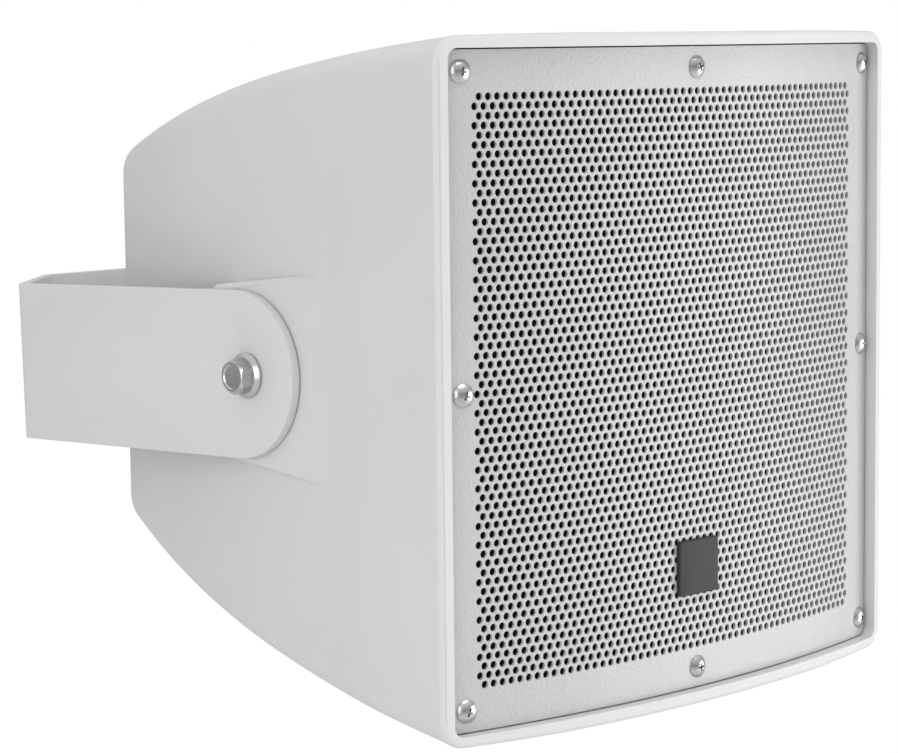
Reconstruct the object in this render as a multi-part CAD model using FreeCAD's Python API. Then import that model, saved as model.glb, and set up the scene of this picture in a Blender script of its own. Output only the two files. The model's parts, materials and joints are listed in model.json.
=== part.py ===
import FreeCAD, Part
import math
import os

from FreeCAD import Vector

# Square weather-proof loudspeaker on a tilting U-bracket. Millimetres.
# The row frame: origin at the centre of the bracket's wall face, +Y into the wall, +Z up.
# The cabinet is drawn square in a frame of its own: origin at the front centre of the
# grille, +Y to the rear. It is then turned about the pivot and set into the bracket.

# Cabinet outside
front_size = 325.0           # outer width and height of the front, in the grille's plane
front_radius = 704.0         # plan radius of the curved grille
cabinet_depth = 326.0        # grille front to rear face
lead_angle = 5.1             # slope of the flanks at the front, degrees
front_flank_radius = 1830.0  # slow curve of the flank behind the front
front_flank_depth = 150.0    # where the tighter curve takes over
rear_flank_radius = 1060.0
rear_round = 25.0            # rounding between the flanks and the rear face
edge_round = 12.4            # rounding of the four long edges
back_rise = 0.015            # the cabinet's middle line climbs this much a millimetre
rim_proud = 6.0              # the rim stands in front of the grille
rim_chamfer = 3.0
rim_side = 7.75              # rim's width at the sides, and at the top and bottom
rim_top = 6.5
wall = 4.0
flank_stations = 14          # sections through the flanks
round_stations = 4           # sections through the rear rounding

# Grille
grille_thickness = 1.5
grille_corner = 4.0
grille_gap = 1.0             # between the grille and the rim
hole_pitch = 27.0            # coarser than the real sheet's 5 mm
hole_across = 19.0           # across the corners of a hole
hole_margin = 19.0           # grille edge to the field of holes
screw_inset = 7.5            # grille edge to the side screws
screw_inset_z = 9.5          # grille edge to the top and bottom screws
foam_thickness = 2.0
foam_edge = 17.0             # the foam stops short of the grille's edge

# Badge plate
badge_width = 28.5
badge_height = 27.0
badge_thickness = 2.0
badge_corner = 2.0
badge_offset = 1.3
badge_rise = 59.4            # above the grille's lower edge

# Baffle
baffle_front = 34.0          # behind the grille's front centre
baffle_thickness = 7.0
baffle_clearance = 0.4
baffle_rib = 4.0
baffle_corner = 9.0
opening_corner = 5.0         # of the front opening, round the grille
seal_thickness = 2.0
ledge_width = 16.0
ledge_thickness = 8.0
grille_boss_radius = 6.5
baffle_screw_offset = 72.0
baffle_screw_inset = 11.0    # opening edge to the baffle's screws

# Pivot and side pads
pivot_depth = 147.3          # behind the grille's front centre
pivot_height = 0.6           # above the cabinet's centre line
cabinet_tilt = 2.0           # nose down, degrees
pad_inset = 11.6             # flat of the side pad, in from the front's outline
pad_front = 88.0             # under the flank's surface, which the pad runs into
pad_rear = 183.0
pad_front_height = 104.8
pad_rear_height = 82.6
pad_round = 3.0
pad_corner = 6.0
insert_radius = 8.0
insert_length = 24.0
insert_boss_radius = 14.0
insert_boss_length = 30.0
bolt_radius = 5.0
bolt_length = 26.0
bolt_flat = 15.0             # hexagon across its flats
bolt_head = 8.0
bolt_flange_radius = 11.0
bolt_flange = 2.0
spacer_radius = 15.0

# Wall bracket
strip_width = 81.6
strip_thickness = 5.0
arm_gap = 0.8                # side pad to arm
bracket_reach = 244.5        # pivot to the wall face
arm_setback = 8.3            # arm end's centre behind the pivot
corner_leg = 57.3            # the 45 degree corner, along each side, inside
bend_radius = 2.0
pivot_clearance = 0.06
face_clearance = 0.1
wall_hole_radius = 5.25
wall_bolt_radius = 3.25
wall_bolt_spacing_x = 120.0
wall_bolt_spacing_z = 40.0

# Woofer
woofer_radius = 104.0
woofer_cutout = 93.0
woofer_flange = 4.0
woofer_gasket = 2.5
woofer_gasket_width = 8.0
woofer_bolt_circle = 98.5
woofer_screws = 6
basket_thickness = 2.0
basket_depth = 54.0          # flange back to the magnet's top plate
basket_windows = 6
surround_outer = 92.0
surround_inner = 80.0
surround_height = 8.0
surround_skin = 1.0
moving_gap = 0.3             # between the moving cone and what flexes with it
cone_thickness = 1.4
cone_depth = 32.0
cone_bow = 0.48              # how much the flare curves
cone_neck = 20.0
surround_lip = 3.0
flare_steps = 3
roll_steps = 5
dome_steps = 3
coil_radius = 19.0
former_thickness = 0.8
coil_thickness = 1.0
coil_length = 10.0
coil_overhang = 2.0
coil_gap = 0.7
spider_outer = 44.0
spider_depth = 38.0          # flange front to the spider
spider_thickness = 1.0
spider_waves = 2
spider_land = 4.0            # width of the shelf the spider is glued to, each way
window_margin = 6.0          # shelf to the basket's windows
dust_cap_height = 8.0
top_plate_radius = 49.0
plate_thickness = 8.0
magnet_radius = 53.0
magnet_bore = 28.0
magnet_thickness = 18.0

# Tweeter on its bridge
bridge_width = 16.0
bridge_thickness = 3.0
bridge_rise = 11.5
bridge_slope = 5.0
tweeter_radius = 25.0
tweeter_depth = 18.0
tweeter_step = 2.0           # the housing is this much smaller than its plate
tweeter_straight = 0.6       # share of the housing's depth before it tapers
tweeter_back = 0.7           # its back, as a share of the tweeter's radius
flare_lip = 2.0
flare_seat = 1.0
flare_radius = 30.0
flare_depth = 6.0
dome_radius = 12.5
dome_rise = 4.0

# Rear panel
panel_width = 130.0
panel_height = 52.0
panel_drop = 52.0
panel_thickness = 3.0
panel_corner = 4.0
panel_gasket = 1.5
panel_margin = 7.0           # seat round the service opening
panel_frame_thickness = 6.0
gland_offset = 35.0
fitting_drop = 7.5           # gland and selector, below the panel's centre
gland_thread = 8.0
gland_flat = 20.0
gland_hex = 5.0
gland_cap = 18.0
gland_cap_round = 5.0        # length of the cap's slope, and how far it goes in
gland_cap_slope = 3.0
gland_wall = 1.0
gland_seal_wall = 2.0
gland_bore = 3.5
locknut_thickness = 4.0
knob_radius = 11.0
knob_height = 13.0
knob_taper = 0.85
knob_ridge = 3.0
knob_ridge_proud = 2.0
knob_ridge_length = 0.8      # half length, as a share of the knob's radius
switch_radius = 11.0
switch_depth = 15.0
bushing_radius = 4.5
bushing_proud = 1.0
spindle_radius = 3.0
spindle_proud = 9.0

# Crossover and line transformer on the rear wall
board_height = 68.0
board_thickness = 1.6
board_standoff = 16.0
board_z = 44.0
board_boss_radius = 4.0
bobbin_share = 0.176         # a choke's radius, as a share of the board's width
bobbin_height = 16.0
bobbin_bore = 4.0
bobbin_flange = 2.0
part_spacing = 3.0           # between parts on the board
capacitor_radius = 7.0
capacitor_length = 26.0
core_width = 54.0
core_height = 46.0
core_stack = 24.0
core_z = 40.0
winding_width = 34.0
winding_proud = 9.0
winding_round = 3.0
leg_share = 0.25             # half the middle leg, as a share of the winding's width
window_share = 1 / 3         # half the core's windows, as a share of its height
strap_thickness = 1.5
strap_foot = 9.0
wall_spare = 3.0             # kept free round the parts on the rear wall

# Common screws
screw_radius = 2.5
screw_head_radius = 5.5
screw_head = 3.2
screw_crown = 0.7            # top of a screw's head, as a share of its seat
small_screw_radius = 1.5
small_head_radius = 2.6
small_head = 2.0

# Sizes that follow
front_half = front_size / 2
lead = math.sin(math.radians(lead_angle))
opening_x = front_half - rim_side
opening_z = front_half - rim_top
half_chord = opening_x - grille_gap
grille_width = 2 * front_radius * math.asin(half_chord / front_radius)
grille_height = 2 * (opening_z - grille_gap)
badge_drop = grille_height / 2 - badge_rise
hole_field_width = grille_width - 2 * hole_margin
hole_field_height = grille_height - 2 * hole_margin
pad_face = front_half - pad_inset
baffle_back = baffle_front + baffle_thickness
ledge_front = baffle_back + seal_thickness
ledge_back = ledge_front + ledge_thickness
rear_inner = cabinet_depth - wall
arm_inner = pad_face + arm_gap
arm_outer = arm_inner + strip_thickness
flange_front = baffle_front - woofer_flange
gasket_front = flange_front - woofer_gasket
top_plate_front = baffle_front + basket_depth
top_plate_back = top_plate_front + plate_thickness
magnet_back = top_plate_back + magnet_thickness
lip_back = flange_front + surround_skin
cone_front = lip_back + moving_gap
neck_front = cone_front + cone_depth
spider_front = flange_front + spider_depth
bridge_front = gasket_front - bridge_rise - bridge_thickness
panel_outer = cabinet_depth
panel_inner = panel_outer - panel_thickness
seat_depth = panel_inner - panel_gasket
fitting_z = -panel_drop - fitting_drop
board_back = rear_inner - board_standoff
reach = 600.0                # longer than anything it cuts
past = 1.0                   # how far a tool stands past the face it cuts
frame_bore = coil_radius + former_thickness + coil_thickness + 2 * coil_gap


def flank(y, inset=0.0):
    """Half size of the cabinet at a depth: a slow arc and then a tighter one."""
    if y <= front_flank_depth:
        start, level, slope, radius = 0.0, front_half, lead, front_flank_radius
    else:
        start = front_flank_depth
        level = flank(front_flank_depth)
        slope = lead + front_flank_depth / front_flank_radius
        radius = rear_flank_radius
    sine = slope + (y - start) / radius
    drop = radius * (math.sqrt(1 - slope ** 2) - math.sqrt(1 - sine ** 2))
    return level - drop - inset


def flank_sine(y):
    """Sine of the flank's slope in its rear arc."""
    start = lead + front_flank_depth / front_flank_radius
    return start + (y - front_flank_depth) / rear_flank_radius


def rear_corner(inset):
    """Centre depth and half size of the rear rounding, and the angle where it leaves the flank."""
    radius = rear_round - inset
    centre = cabinet_depth - inset - radius
    touch = centre
    for _ in range(20):
        touch = centre + radius * flank_sine(touch)
    angle = math.asin(flank_sine(touch))
    level = flank(touch, inset) - radius * math.cos(angle)
    return centre, level, angle, touch, radius


# Places on the rear wall, shared out over its flat
rear_flat = rear_corner(wall)[1]
strap_half = core_width / 2 + strap_thickness + strap_foot
core_x = rear_flat - strap_half - wall_spare
board_width = 2 * (rear_flat - strap_half) - 3 * wall_spare
board_x = board_width / 2 + wall_spare - rear_flat
bobbin_radius = bobbin_share * board_width


def box(x0, x1, y0, y1, z0, z1):
    return Part.makeBox(x1 - x0, y1 - y0, z1 - z0, Vector(x0, y0, z0))


def rod_x(radius, x0, x1, y, z):
    return Part.makeCylinder(radius, abs(x1 - x0), Vector(min(x0, x1), y, z), Vector(1, 0, 0))


def rod_y(radius, y0, y1, x=0.0, z=0.0):
    return Part.makeCylinder(radius, y1 - y0, Vector(x, y0, z), Vector(0, 1, 0))


def ring_y(outer, inner, y0, y1, x=0.0, z=0.0):
    return rod_y(outer, y0, y1, x, z).cut(rod_y(inner, y0 - past, y1 + past, x, z))


def turned(edges, x=0.0, z=0.0):
    """Turns a closed profile, drawn as radius and depth, about the depth axis."""
    solid = Part.Face(Part.Wire(edges)).revolve(Vector(0, 0, 0), Vector(0, 1, 0), 360)
    solid.translate(Vector(x, 0, z))
    return solid


def outline(points):
    """Straight edges round a list of corner points, closed."""
    ends = points[1:] + points[:1]
    return [Part.makeLine(Vector(*a, 0), Vector(*b, 0)) for a, b in zip(points, ends)]


def plate_xz(half_x, half_z, corner, y0, y1, x=0.0, z=0.0):
    """A plate facing the front, with its four corners rounded."""
    plate = box(x - half_x, x + half_x, y0, y1, z - half_z, z + half_z)
    along = [e for e in plate.Edges if abs(e.tangentAt(e.FirstParameter).y) > 0.9]
    return plate.makeFillet(corner, along)


def hexagon(centre, along, across, length):
    """Six-sided bar from a point, along a unit vector."""
    upright = Vector(0, 0, 1)
    side = along.cross(upright)
    corners = []
    for step in range(7):
        turn = math.radians(60 * step + 30)
        radial = side * math.cos(turn) + upright * math.sin(turn)
        corners.append(centre + radial * (across / 2))
    return Part.Face(Part.makePolygon(corners)).extrude(along * length)


def front_cylinder(radius):
    """Everything behind the curved front at a radius."""
    low = Vector(0, front_radius, -reach / 2)
    return Part.makeCylinder(radius, reach, low, Vector(0, 0, 1))


def on_front(arc, z, offset=0.0):
    """A point at a distance along the curved front, and the inward normal there."""
    angle = arc / front_radius
    radius = front_radius + offset
    point = Vector(radius * math.sin(angle), front_radius - radius * math.cos(angle), z)
    inward = Vector(-math.sin(angle), math.cos(angle), 0)
    return point, inward


def rounded_square(y, half, corner):
    """One section of the cabinet, on its climbing middle line: four sides, four quarter rounds."""
    middle = back_rise * y
    flat = half - corner
    bulge = flat + corner * math.sqrt(0.5)
    edges = []
    for turn in range(4):
        c, s = [(1, 0), (0, -1), (-1, 0), (0, 1)][turn]

        def at(u, v):
            return Vector(c * u - s * v, y, s * u + c * v + middle)

        edges.append(Part.makeLine(at(-flat, half), at(flat, half)))
        edges.append(Part.Arc(at(flat, half), at(bulge, bulge), at(half, flat)).toShape())
    return Part.Wire(edges)


def outer_body():
    """The outside of the moulded housing, before anything is taken from it."""
    centre, level, angle, touch, radius = rear_corner(0.0)
    begin = -3 * rim_proud
    rim_back = front_radius - math.sqrt(front_radius ** 2 - front_half ** 2) + 4 * rim_chamfer
    sections = [rounded_square(begin, flank(begin), edge_round)]
    for i in range(flank_stations):
        y = rim_back + (touch - rim_back) * i / (flank_stations - 1)
        sections.append(rounded_square(y, flank(y), edge_round))
    for i in range(1, round_stations + 1):
        turn = angle + (math.pi / 2 - angle) * i / round_stations
        y = centre + radius * math.sin(turn)
        sections.append(rounded_square(y, level + radius * math.cos(turn), edge_round))
    body = Part.makeLoft(sections, True, True)
    rim_radius = front_radius + rim_proud
    body = body.common(front_cylinder(rim_radius))
    front_edges = []
    for edge in body.Edges:
        middle = edge.valueAt((edge.FirstParameter + edge.LastParameter) / 2)
        if abs(math.hypot(middle.x, middle.y - front_radius) - rim_radius) < 0.05:
            front_edges.append(edge)
    return body.makeChamfer(rim_chamfer, front_edges)


def inner_profile(climb=0.0):
    """The cavity's outline: the flanks' arcs, the rear roundings and the rear wall."""
    centre, level, angle, touch, radius = rear_corner(wall)
    middle = (angle + math.pi / 2) / 2

    def place(x, y):
        return Vector(x + climb * y, y, 0)

    def arc(y0, y1, side):
        ys = (y0, (y0 + y1) / 2, y1)
        return Part.Arc(*[place(side * flank(y, wall), y) for y in ys]).toShape()

    def corner(side):
        start = place(side * flank(touch, wall), touch)
        bulge = level + radius * math.cos(middle)
        through = place(side * bulge, centre + radius * math.sin(middle))
        end = place(side * level, rear_inner)
        return Part.Arc(start, through, end).toShape()

    edges = []
    for side in (1, -1):
        edges.append(arc(ledge_back, front_flank_depth, side))
        edges.append(arc(front_flank_depth, touch, side))
        edges.append(corner(side))
    front = flank(ledge_back, wall)
    edges.append(Part.makeLine(place(-front, ledge_back), place(front, ledge_back)))
    edges.append(Part.makeLine(place(-level, rear_inner), place(level, rear_inner)))
    return Part.Face(Part.Wire(Part.__sortEdges__(edges)))


def cavity():
    """The hollow of the housing: the outline in plan, and in elevation with the climb."""
    plan = inner_profile()
    side = inner_profile(-back_rise)
    plan.translate(Vector(0, 0, -reach / 2))
    side.rotate(Vector(0, 0, 0), Vector(0, 1, 0), 90)
    side.translate(Vector(-reach / 2, 0, 0))
    return plan.extrude(Vector(0, 0, reach)).common(side.extrude(Vector(reach, 0, 0)))


def side_pad(side):
    """Flat moulded pad that carries the pivot, tapering towards the rear."""
    inside = flank(cabinet_depth / 2, 2 * wall)
    rear_half = pad_rear_height / 2
    front_half_height = pad_front_height / 2
    corners = [(pad_front, -front_half_height), (pad_rear, -rear_half),
               (pad_rear, rear_half), (pad_front, front_half_height)]
    points = [Vector(side * inside, y, pivot_height + z) for y, z in corners]
    points.append(points[0])
    pad = Part.Face(Part.makePolygon(points)).extrude(Vector(side * (pad_face - inside), 0, 0))
    rear_edges = [e for e in pad.Edges
                  if abs(e.BoundBox.YMin - pad_rear) < 0.01 and e.BoundBox.XLength > 1]
    pad = pad.makeFillet(pad_corner, rear_edges)
    rim = [e for e in pad.Edges
           if e.BoundBox.XLength < 0.01 and abs(abs(e.BoundBox.XMin) - pad_face) < 0.01
           and e.BoundBox.YMax > pad_front + 0.01]
    return pad.makeFillet(pad_round, rim)


def grille_screw_places():
    """Arc distance and height of the eight screws that hold the grille."""
    arc = grille_width / 2 - screw_inset
    up = grille_height / 2 - screw_inset_z
    corners = [(a, z) for a in (-arc, 0, arc) for z in (-up, up)]
    return corners + [(-arc, 0), (arc, 0)]


def baffle_screw_places():
    """Eight places round the ledge, between the grille's screws."""
    edge_x = opening_x - baffle_screw_inset
    edge_z = opening_z - baffle_screw_inset
    off = baffle_screw_offset
    sides = [(x, z) for x in (-edge_x, edge_x) for z in (-off, off)]
    return sides + [(x, z) for x in (-off, off) for z in (-edge_z, edge_z)]


def ring_places(count, radius):
    turns = [2 * math.pi * i / count for i in range(count)]
    return [(radius * math.cos(t), radius * math.sin(t)) for t in turns]


def panel_screw_places():
    off_x = panel_width / 2 - panel_margin / 2
    off_z = panel_height / 2 - panel_margin / 2
    return [(x, -panel_drop + z) for x in (-off_x, off_x) for z in (-off_z, off_z)]


def board_places():
    off_x = board_width / 2 - board_boss_radius
    off_z = board_height / 2 - board_boss_radius
    return [(board_x + x, board_z + z) for x in (-off_x, off_x) for z in (-off_z, off_z)]


def strap_places():
    off = core_width / 2 + strap_thickness + strap_foot / 2
    return [(core_x - off, core_z), (core_x + off, core_z)]


def screw(point, along, radius, head_radius, head, length):
    """Pan-head screw: its seat is at the point, its shank runs along a unit vector."""
    shank = Part.makeCylinder(radius, length, point, along)
    crown = Part.makeCone(head_radius, screw_crown * head_radius, head, point, along * -1)
    return shank.fuse(crown).removeSplitter()


def screws(places, y, radius, head_radius, head, length, along=1):
    """Screws of one kind whose seats lie in one plane across the depth axis."""
    axis = Vector(0, along, 0)
    return Part.makeCompound([
        screw(Vector(x, y, z), axis, radius, head_radius, head, length) for x, z in places
    ])


def cabinet_shell():
    body = outer_body()
    for side in (-1, 1):
        body = body.fuse(side_pad(side))
    ledge_x = opening_x - ledge_width
    ledge_z = opening_z - ledge_width
    body = body.cut(plate_xz(opening_x, opening_z, opening_corner, -reach / 4, baffle_front))
    body = body.cut(plate_xz(opening_x, opening_z, baffle_corner, -reach / 4, ledge_front))
    body = body.cut(box(-ledge_x, ledge_x, 0, ledge_back + past, -ledge_z, ledge_z))
    body = body.cut(cavity())
    screw_boss = 2 * screw_radius
    for x, z in baffle_screw_places():
        body = body.fuse(rod_y(screw_boss, ledge_back - past, ledge_back + ledge_thickness, x, z))
    for side in (-1, 1):
        end = pad_face - insert_boss_length
        boss = rod_x(insert_boss_radius, side * pad_face, side * end, pivot_depth, pivot_height)
        body = body.fuse(boss)
    half_x = panel_width / 2
    half_z = panel_height / 2
    frame_front = seat_depth - panel_frame_thickness
    body = body.fuse(box(-half_x - wall, half_x + wall, frame_front, rear_inner + past,
                         -panel_drop - half_z - wall / 2, -panel_drop + half_z + wall / 2))
    for x, z in board_places():
        body = body.fuse(rod_y(board_boss_radius, board_back, rear_inner + past, x, z))
    pocket = plate_xz(half_x, half_z, panel_corner, seat_depth, cabinet_depth + past, 0, -panel_drop)
    service_x = half_x - panel_margin
    service_z = half_z - panel_margin
    service = box(-service_x, service_x, frame_front - past, cabinet_depth + past,
                  -panel_drop - service_z, -panel_drop + service_z)
    tools = [pocket, service]
    for x, z in baffle_screw_places():
        tools.append(rod_y(screw_radius, ledge_front - past, ledge_back + ledge_thickness + past, x, z))
    for side in (-1, 1):
        deep = pad_face - insert_length
        tools.append(rod_x(insert_radius, side * (pad_face + past), side * deep,
                           pivot_depth, pivot_height))
    for x, z in panel_screw_places():
        tools.append(rod_y(small_screw_radius, frame_front - past, cabinet_depth, x, z))
    for x, z in board_places():
        tools.append(rod_y(small_screw_radius, board_back - past, rear_inner + past, x, z))
    for x, z in strap_places():
        tools.append(rod_y(small_screw_radius, rear_inner - past, rear_inner + wall / 2, x, z))
    for tool in tools:
        body = body.cut(tool)
    return body


def hole_centres():
    """Staggered rows of holes, centred on the grille."""
    row_pitch = hole_pitch * math.sqrt(3) / 2
    rows = int((hole_field_height - hole_across) / row_pitch) + 1
    places = []
    for row in range(rows):
        z = (row - (rows - 1) / 2) * row_pitch
        shift = hole_pitch / 4 if row % 2 else -hole_pitch / 4
        reach_each = (hole_field_width - hole_across) / 2 - hole_pitch / 4
        count = int(reach_each / hole_pitch)
        for column in range(-count, count + 1):
            places.append((column * hole_pitch + shift, z))
    return places


def curved_sheet(half_x, half_z, corner, front, thickness):
    """A sheet bent to the front's curve, cut to a rounded outline."""
    blank = plate_xz(half_x, half_z, corner, -reach / 8, reach / 8)
    return blank.common(front_cylinder(front)).cut(front_cylinder(front - thickness))


def front_grille():
    sheet = curved_sheet(half_chord, grille_height / 2, grille_corner, front_radius, grille_thickness)
    cutters = []
    for arc, z in hole_centres():
        point, inward = on_front(arc, z, past)
        cutters.append(hexagon(point, inward, hole_across, grille_thickness + 2 * past))
    for arc, z in grille_screw_places():
        point, inward = on_front(arc, z, past)
        cutters.append(Part.makeCylinder(screw_radius, grille_thickness + 2 * past, point, inward))
    return sheet.cut(Part.makeCompound(cutters))


def grille_foam():
    return curved_sheet(half_chord - foam_edge, grille_height / 2 - foam_edge, grille_corner,
                        front_radius - grille_thickness, foam_thickness)


def grille_screws():
    made = []
    for arc, z in grille_screw_places():
        point, inward = on_front(arc, z)
        made.append(screw(point, inward, screw_radius, screw_head_radius, screw_head,
                          baffle_front / 2))
    return Part.makeCompound(made)


def badge_plate():
    plate = plate_xz(badge_width / 2, badge_height / 2, badge_corner,
                     -badge_thickness, badge_thickness, badge_offset, -badge_drop)
    return plate.cut(front_cylinder(front_radius))


def baffle():
    half_x = opening_x - baffle_clearance
    half_z = opening_z - baffle_clearance
    seat = front_cylinder(front_radius - grille_thickness)
    board = plate_xz(half_x, half_z, baffle_corner, baffle_front, baffle_back)
    rib = plate_xz(half_x, half_z, baffle_corner, -past, baffle_front + 1)
    rib = rib.cut(box(baffle_rib - half_x, half_x - baffle_rib, -2 * past, baffle_front + 2 * past,
                      baffle_rib - half_z, half_z - baffle_rib))
    body = board.fuse(rib.common(seat))
    limit = box(-half_x, half_x, -past, baffle_front + past, -half_z, half_z).common(seat)
    for arc, z in grille_screw_places():
        point, inward = on_front(arc, z)
        boss = Part.makeCylinder(grille_boss_radius, baffle_front + past, point, inward)
        body = body.fuse(boss.common(limit))
    body = body.cut(rod_y(woofer_cutout, 0, reach, 0, 0))
    for arc, z in grille_screw_places():
        point, inward = on_front(arc, z)
        body = body.cut(Part.makeCylinder(screw_radius, baffle_front / 2, point, inward))
    for x, z in baffle_screw_places():
        body = body.cut(rod_y(screw_radius, baffle_front - past, baffle_back + past, x, z))
    for x, z in ring_places(woofer_screws, woofer_bolt_circle):
        body = body.cut(rod_y(small_screw_radius, baffle_front - past, baffle_back + past, x, z))
    return body


def baffle_seal():
    half_x = opening_x - baffle_clearance
    half_z = opening_z - baffle_clearance
    seal = plate_xz(half_x, half_z, baffle_corner, baffle_back, ledge_front)
    inner_x = opening_x - ledge_width
    inner_z = opening_z - ledge_width
    seal = seal.cut(box(-inner_x, inner_x, 0, reach, -inner_z, inner_z))
    for x, z in baffle_screw_places():
        seal = seal.cut(rod_y(screw_radius, 0, reach, x, z))
    return seal


def woofer_frame():
    """Flange, perforated conical basket and the seat of the top plate, pressed as one."""
    back = top_plate_front
    slant = basket_thickness / math.cos(math.atan((woofer_cutout - top_plate_radius) / basket_depth))
    rim = woofer_cutout - past
    profile = [
        (woofer_radius, flange_front), (woofer_radius, baffle_front), (rim, baffle_front),
        (top_plate_radius, back - basket_thickness), (top_plate_radius, back),
        (frame_bore, back), (frame_bore, back - basket_thickness),
        (top_plate_radius - slant, back - basket_thickness), (surround_outer - slant, baffle_front),
        (surround_outer - slant, flange_front),
    ]
    body = turned(outline(profile))
    shelf = ring_y(spider_outer + spider_land, spider_outer - spider_land, spider_front + spider_thickness,
                   back - basket_thickness)
    body = body.fuse(shelf)
    middle = (baffle_front + back) / 2
    tall = (back - baffle_front) / 2 - 2 * basket_thickness
    for i in range(basket_windows):
        window = box(spider_outer + window_margin, woofer_radius, middle - tall, middle + tall,
                     -surround_inner / 4, surround_inner / 4)
        window.rotate(Vector(0, 0, 0), Vector(0, 1, 0), 360 / basket_windows * (i + 0.5))
        body = body.cut(window)
    for x, z in ring_places(woofer_screws, woofer_bolt_circle):
        body = body.cut(rod_y(small_screw_radius, 0, baffle_front + past, x, z))
    return body


def woofer_front_gasket():
    body = ring_y(woofer_radius, woofer_radius - woofer_gasket_width, gasket_front, flange_front)
    for x, z in ring_places(woofer_screws, woofer_bolt_circle):
        body = body.cut(rod_y(small_screw_radius, 0, baffle_front, x, z))
    return body


def woofer_surround():
    """Rubber half roll between the flange and the cone."""
    front = flange_front
    middle = (surround_outer + surround_inner) / 2
    lip = surround_lip

    def roll(offset):
        half = (surround_outer - surround_inner) / 2 + offset
        high = surround_height + offset
        turns = [math.pi * i / roll_steps for i in range(roll_steps + 1)]
        return [(middle + half * math.cos(t), front - high * math.sin(t)) for t in turns]

    glued = [(surround_inner - lip, front), (surround_inner - lip, lip_back),
             (surround_inner + surround_skin, lip_back)]
    return turned(outline(roll(0.0) + glued + roll(-surround_skin)[::-1]))


def woofer_cone():
    """Paper cone with a gently curved flare."""

    def flare(offset):
        line = []
        for i in range(flare_steps + 1):
            u = i / flare_steps
            r = surround_inner + (cone_neck - surround_inner) * u
            line.append((r, cone_front + cone_depth * (u + cone_bow * u * (1 - u)) + offset))
        return line

    return turned(outline(flare(0.0) + flare(cone_thickness)[::-1]))


def crowned(radius, base, rise):
    """A shallow dome of revolution, solid down to its base."""
    turns = [math.pi / 2 * i / dome_steps for i in range(dome_steps + 1)]
    line = [(radius * math.cos(t), base - rise * math.sin(t)) for t in turns[:-1]]
    return turned(outline(line + [(0, base - rise), (0, base)]))


def dust_cap():
    """Domed cap over the voice coil, glued to the cone."""
    return crowned(cone_neck, neck_front, dust_cap_height)


def coil_former():
    outer = coil_radius + former_thickness
    return ring_y(outer, coil_radius, neck_front, top_plate_back + coil_overhang)


def voice_coil():
    inner = coil_radius + former_thickness
    back = top_plate_back + coil_overhang
    return ring_y(inner + coil_thickness, inner, back - coil_length, back)


def woofer_spider():
    """Corrugated suspension between the voice-coil former and the basket's shelf."""
    inner = coil_radius + former_thickness + moving_gap
    waves = spider_waves
    step = (spider_outer - inner) / (2 * waves)
    front_line = [(inner, spider_front)]
    for wave in range(2 * waves):
        side = -1 if wave % 2 else 1
        front_line.append((inner + step * (wave + 0.5), spider_front + side * spider_thickness))
    front_line.append((spider_outer, spider_front))
    back_line = [(r, y + spider_thickness) for r, y in reversed(front_line)]
    return turned(outline(front_line + back_line))


def top_plate():
    bore = coil_radius + former_thickness + coil_thickness + coil_gap
    return ring_y(top_plate_radius, bore, top_plate_front, top_plate_back)


def magnet():
    return ring_y(magnet_radius, magnet_bore, top_plate_back, magnet_back)


def yoke():
    """Back plate and centre pole, turned from one piece."""
    plate = rod_y(top_plate_radius, magnet_back, magnet_back + plate_thickness)
    return plate.fuse(rod_y(coil_radius - coil_gap, top_plate_front, magnet_back + past))


def woofer_screw_set():
    seats = []
    for i, (x, z) in enumerate(ring_places(woofer_screws, woofer_bolt_circle)):
        under_bridge = i * 2 % woofer_screws == 0
        y = gasket_front - (bridge_thickness if under_bridge else 0.0)
        length = baffle_back - y
        seats.append(screw(Vector(x, y, z), Vector(0, 1, 0), small_screw_radius,
                           small_head_radius, small_head, length))
    return Part.makeCompound(seats)


def tweeter_bridge():
    """Pressed strap across the woofer that carries the tweeter."""
    foot = woofer_radius
    heel = woofer_bolt_circle - small_head_radius
    shoulder = heel - bridge_slope
    low, high = gasket_front, bridge_front + bridge_thickness
    t = bridge_thickness
    half = [(foot, low), (foot, low - t), (heel, low - t), (shoulder, high - t)]
    under = [(shoulder - past, high), (heel - past, low)]
    mirrored = [(-x, y) for x, y in reversed(half)]
    mirrored_under = [(-x, y) for x, y in reversed(under)]
    face = Part.Face(Part.Wire(outline(half + mirrored + mirrored_under + under)))
    strap = face.extrude(Vector(0, 0, bridge_width))
    strap.translate(Vector(0, 0, -bridge_width / 2))
    strap = strap.fuse(rod_y(tweeter_radius, bridge_front, high))
    for i in (0, woofer_screws // 2):
        x, z = ring_places(woofer_screws, woofer_bolt_circle)[i]
        strap = strap.cut(rod_y(small_screw_radius, 0, low + past, x, z))
    return strap


def tweeter_housing():
    back = bridge_front + bridge_thickness
    outer = tweeter_radius - tweeter_step
    return turned(outline([
        (0, back), (outer, back), (outer, back + tweeter_straight * tweeter_depth),
        (tweeter_back * tweeter_radius, back + tweeter_depth), (0, back + tweeter_depth),
    ]))


def tweeter_flare():
    """Short round horn in front of the dome."""
    front = bridge_front - flare_depth
    return turned(outline([
        (flare_radius, front), (flare_radius, front + flare_lip),
        (tweeter_radius, bridge_front), (dome_radius, bridge_front),
        (dome_radius, bridge_front - flare_seat), (flare_radius - flare_lip, front),
    ]))


def tweeter_dome():
    return crowned(dome_radius, bridge_front, dome_rise)


def pivot_inserts():
    made = []
    for side in (-1, 1):
        end = pad_face - insert_length
        body = rod_x(insert_radius, side * pad_face, side * end, pivot_depth, pivot_height)
        bore = rod_x(bolt_radius, side * (pad_face + past), side * (end - past), pivot_depth, pivot_height)
        made.append(body.cut(bore))
    return Part.makeCompound(made)


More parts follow.
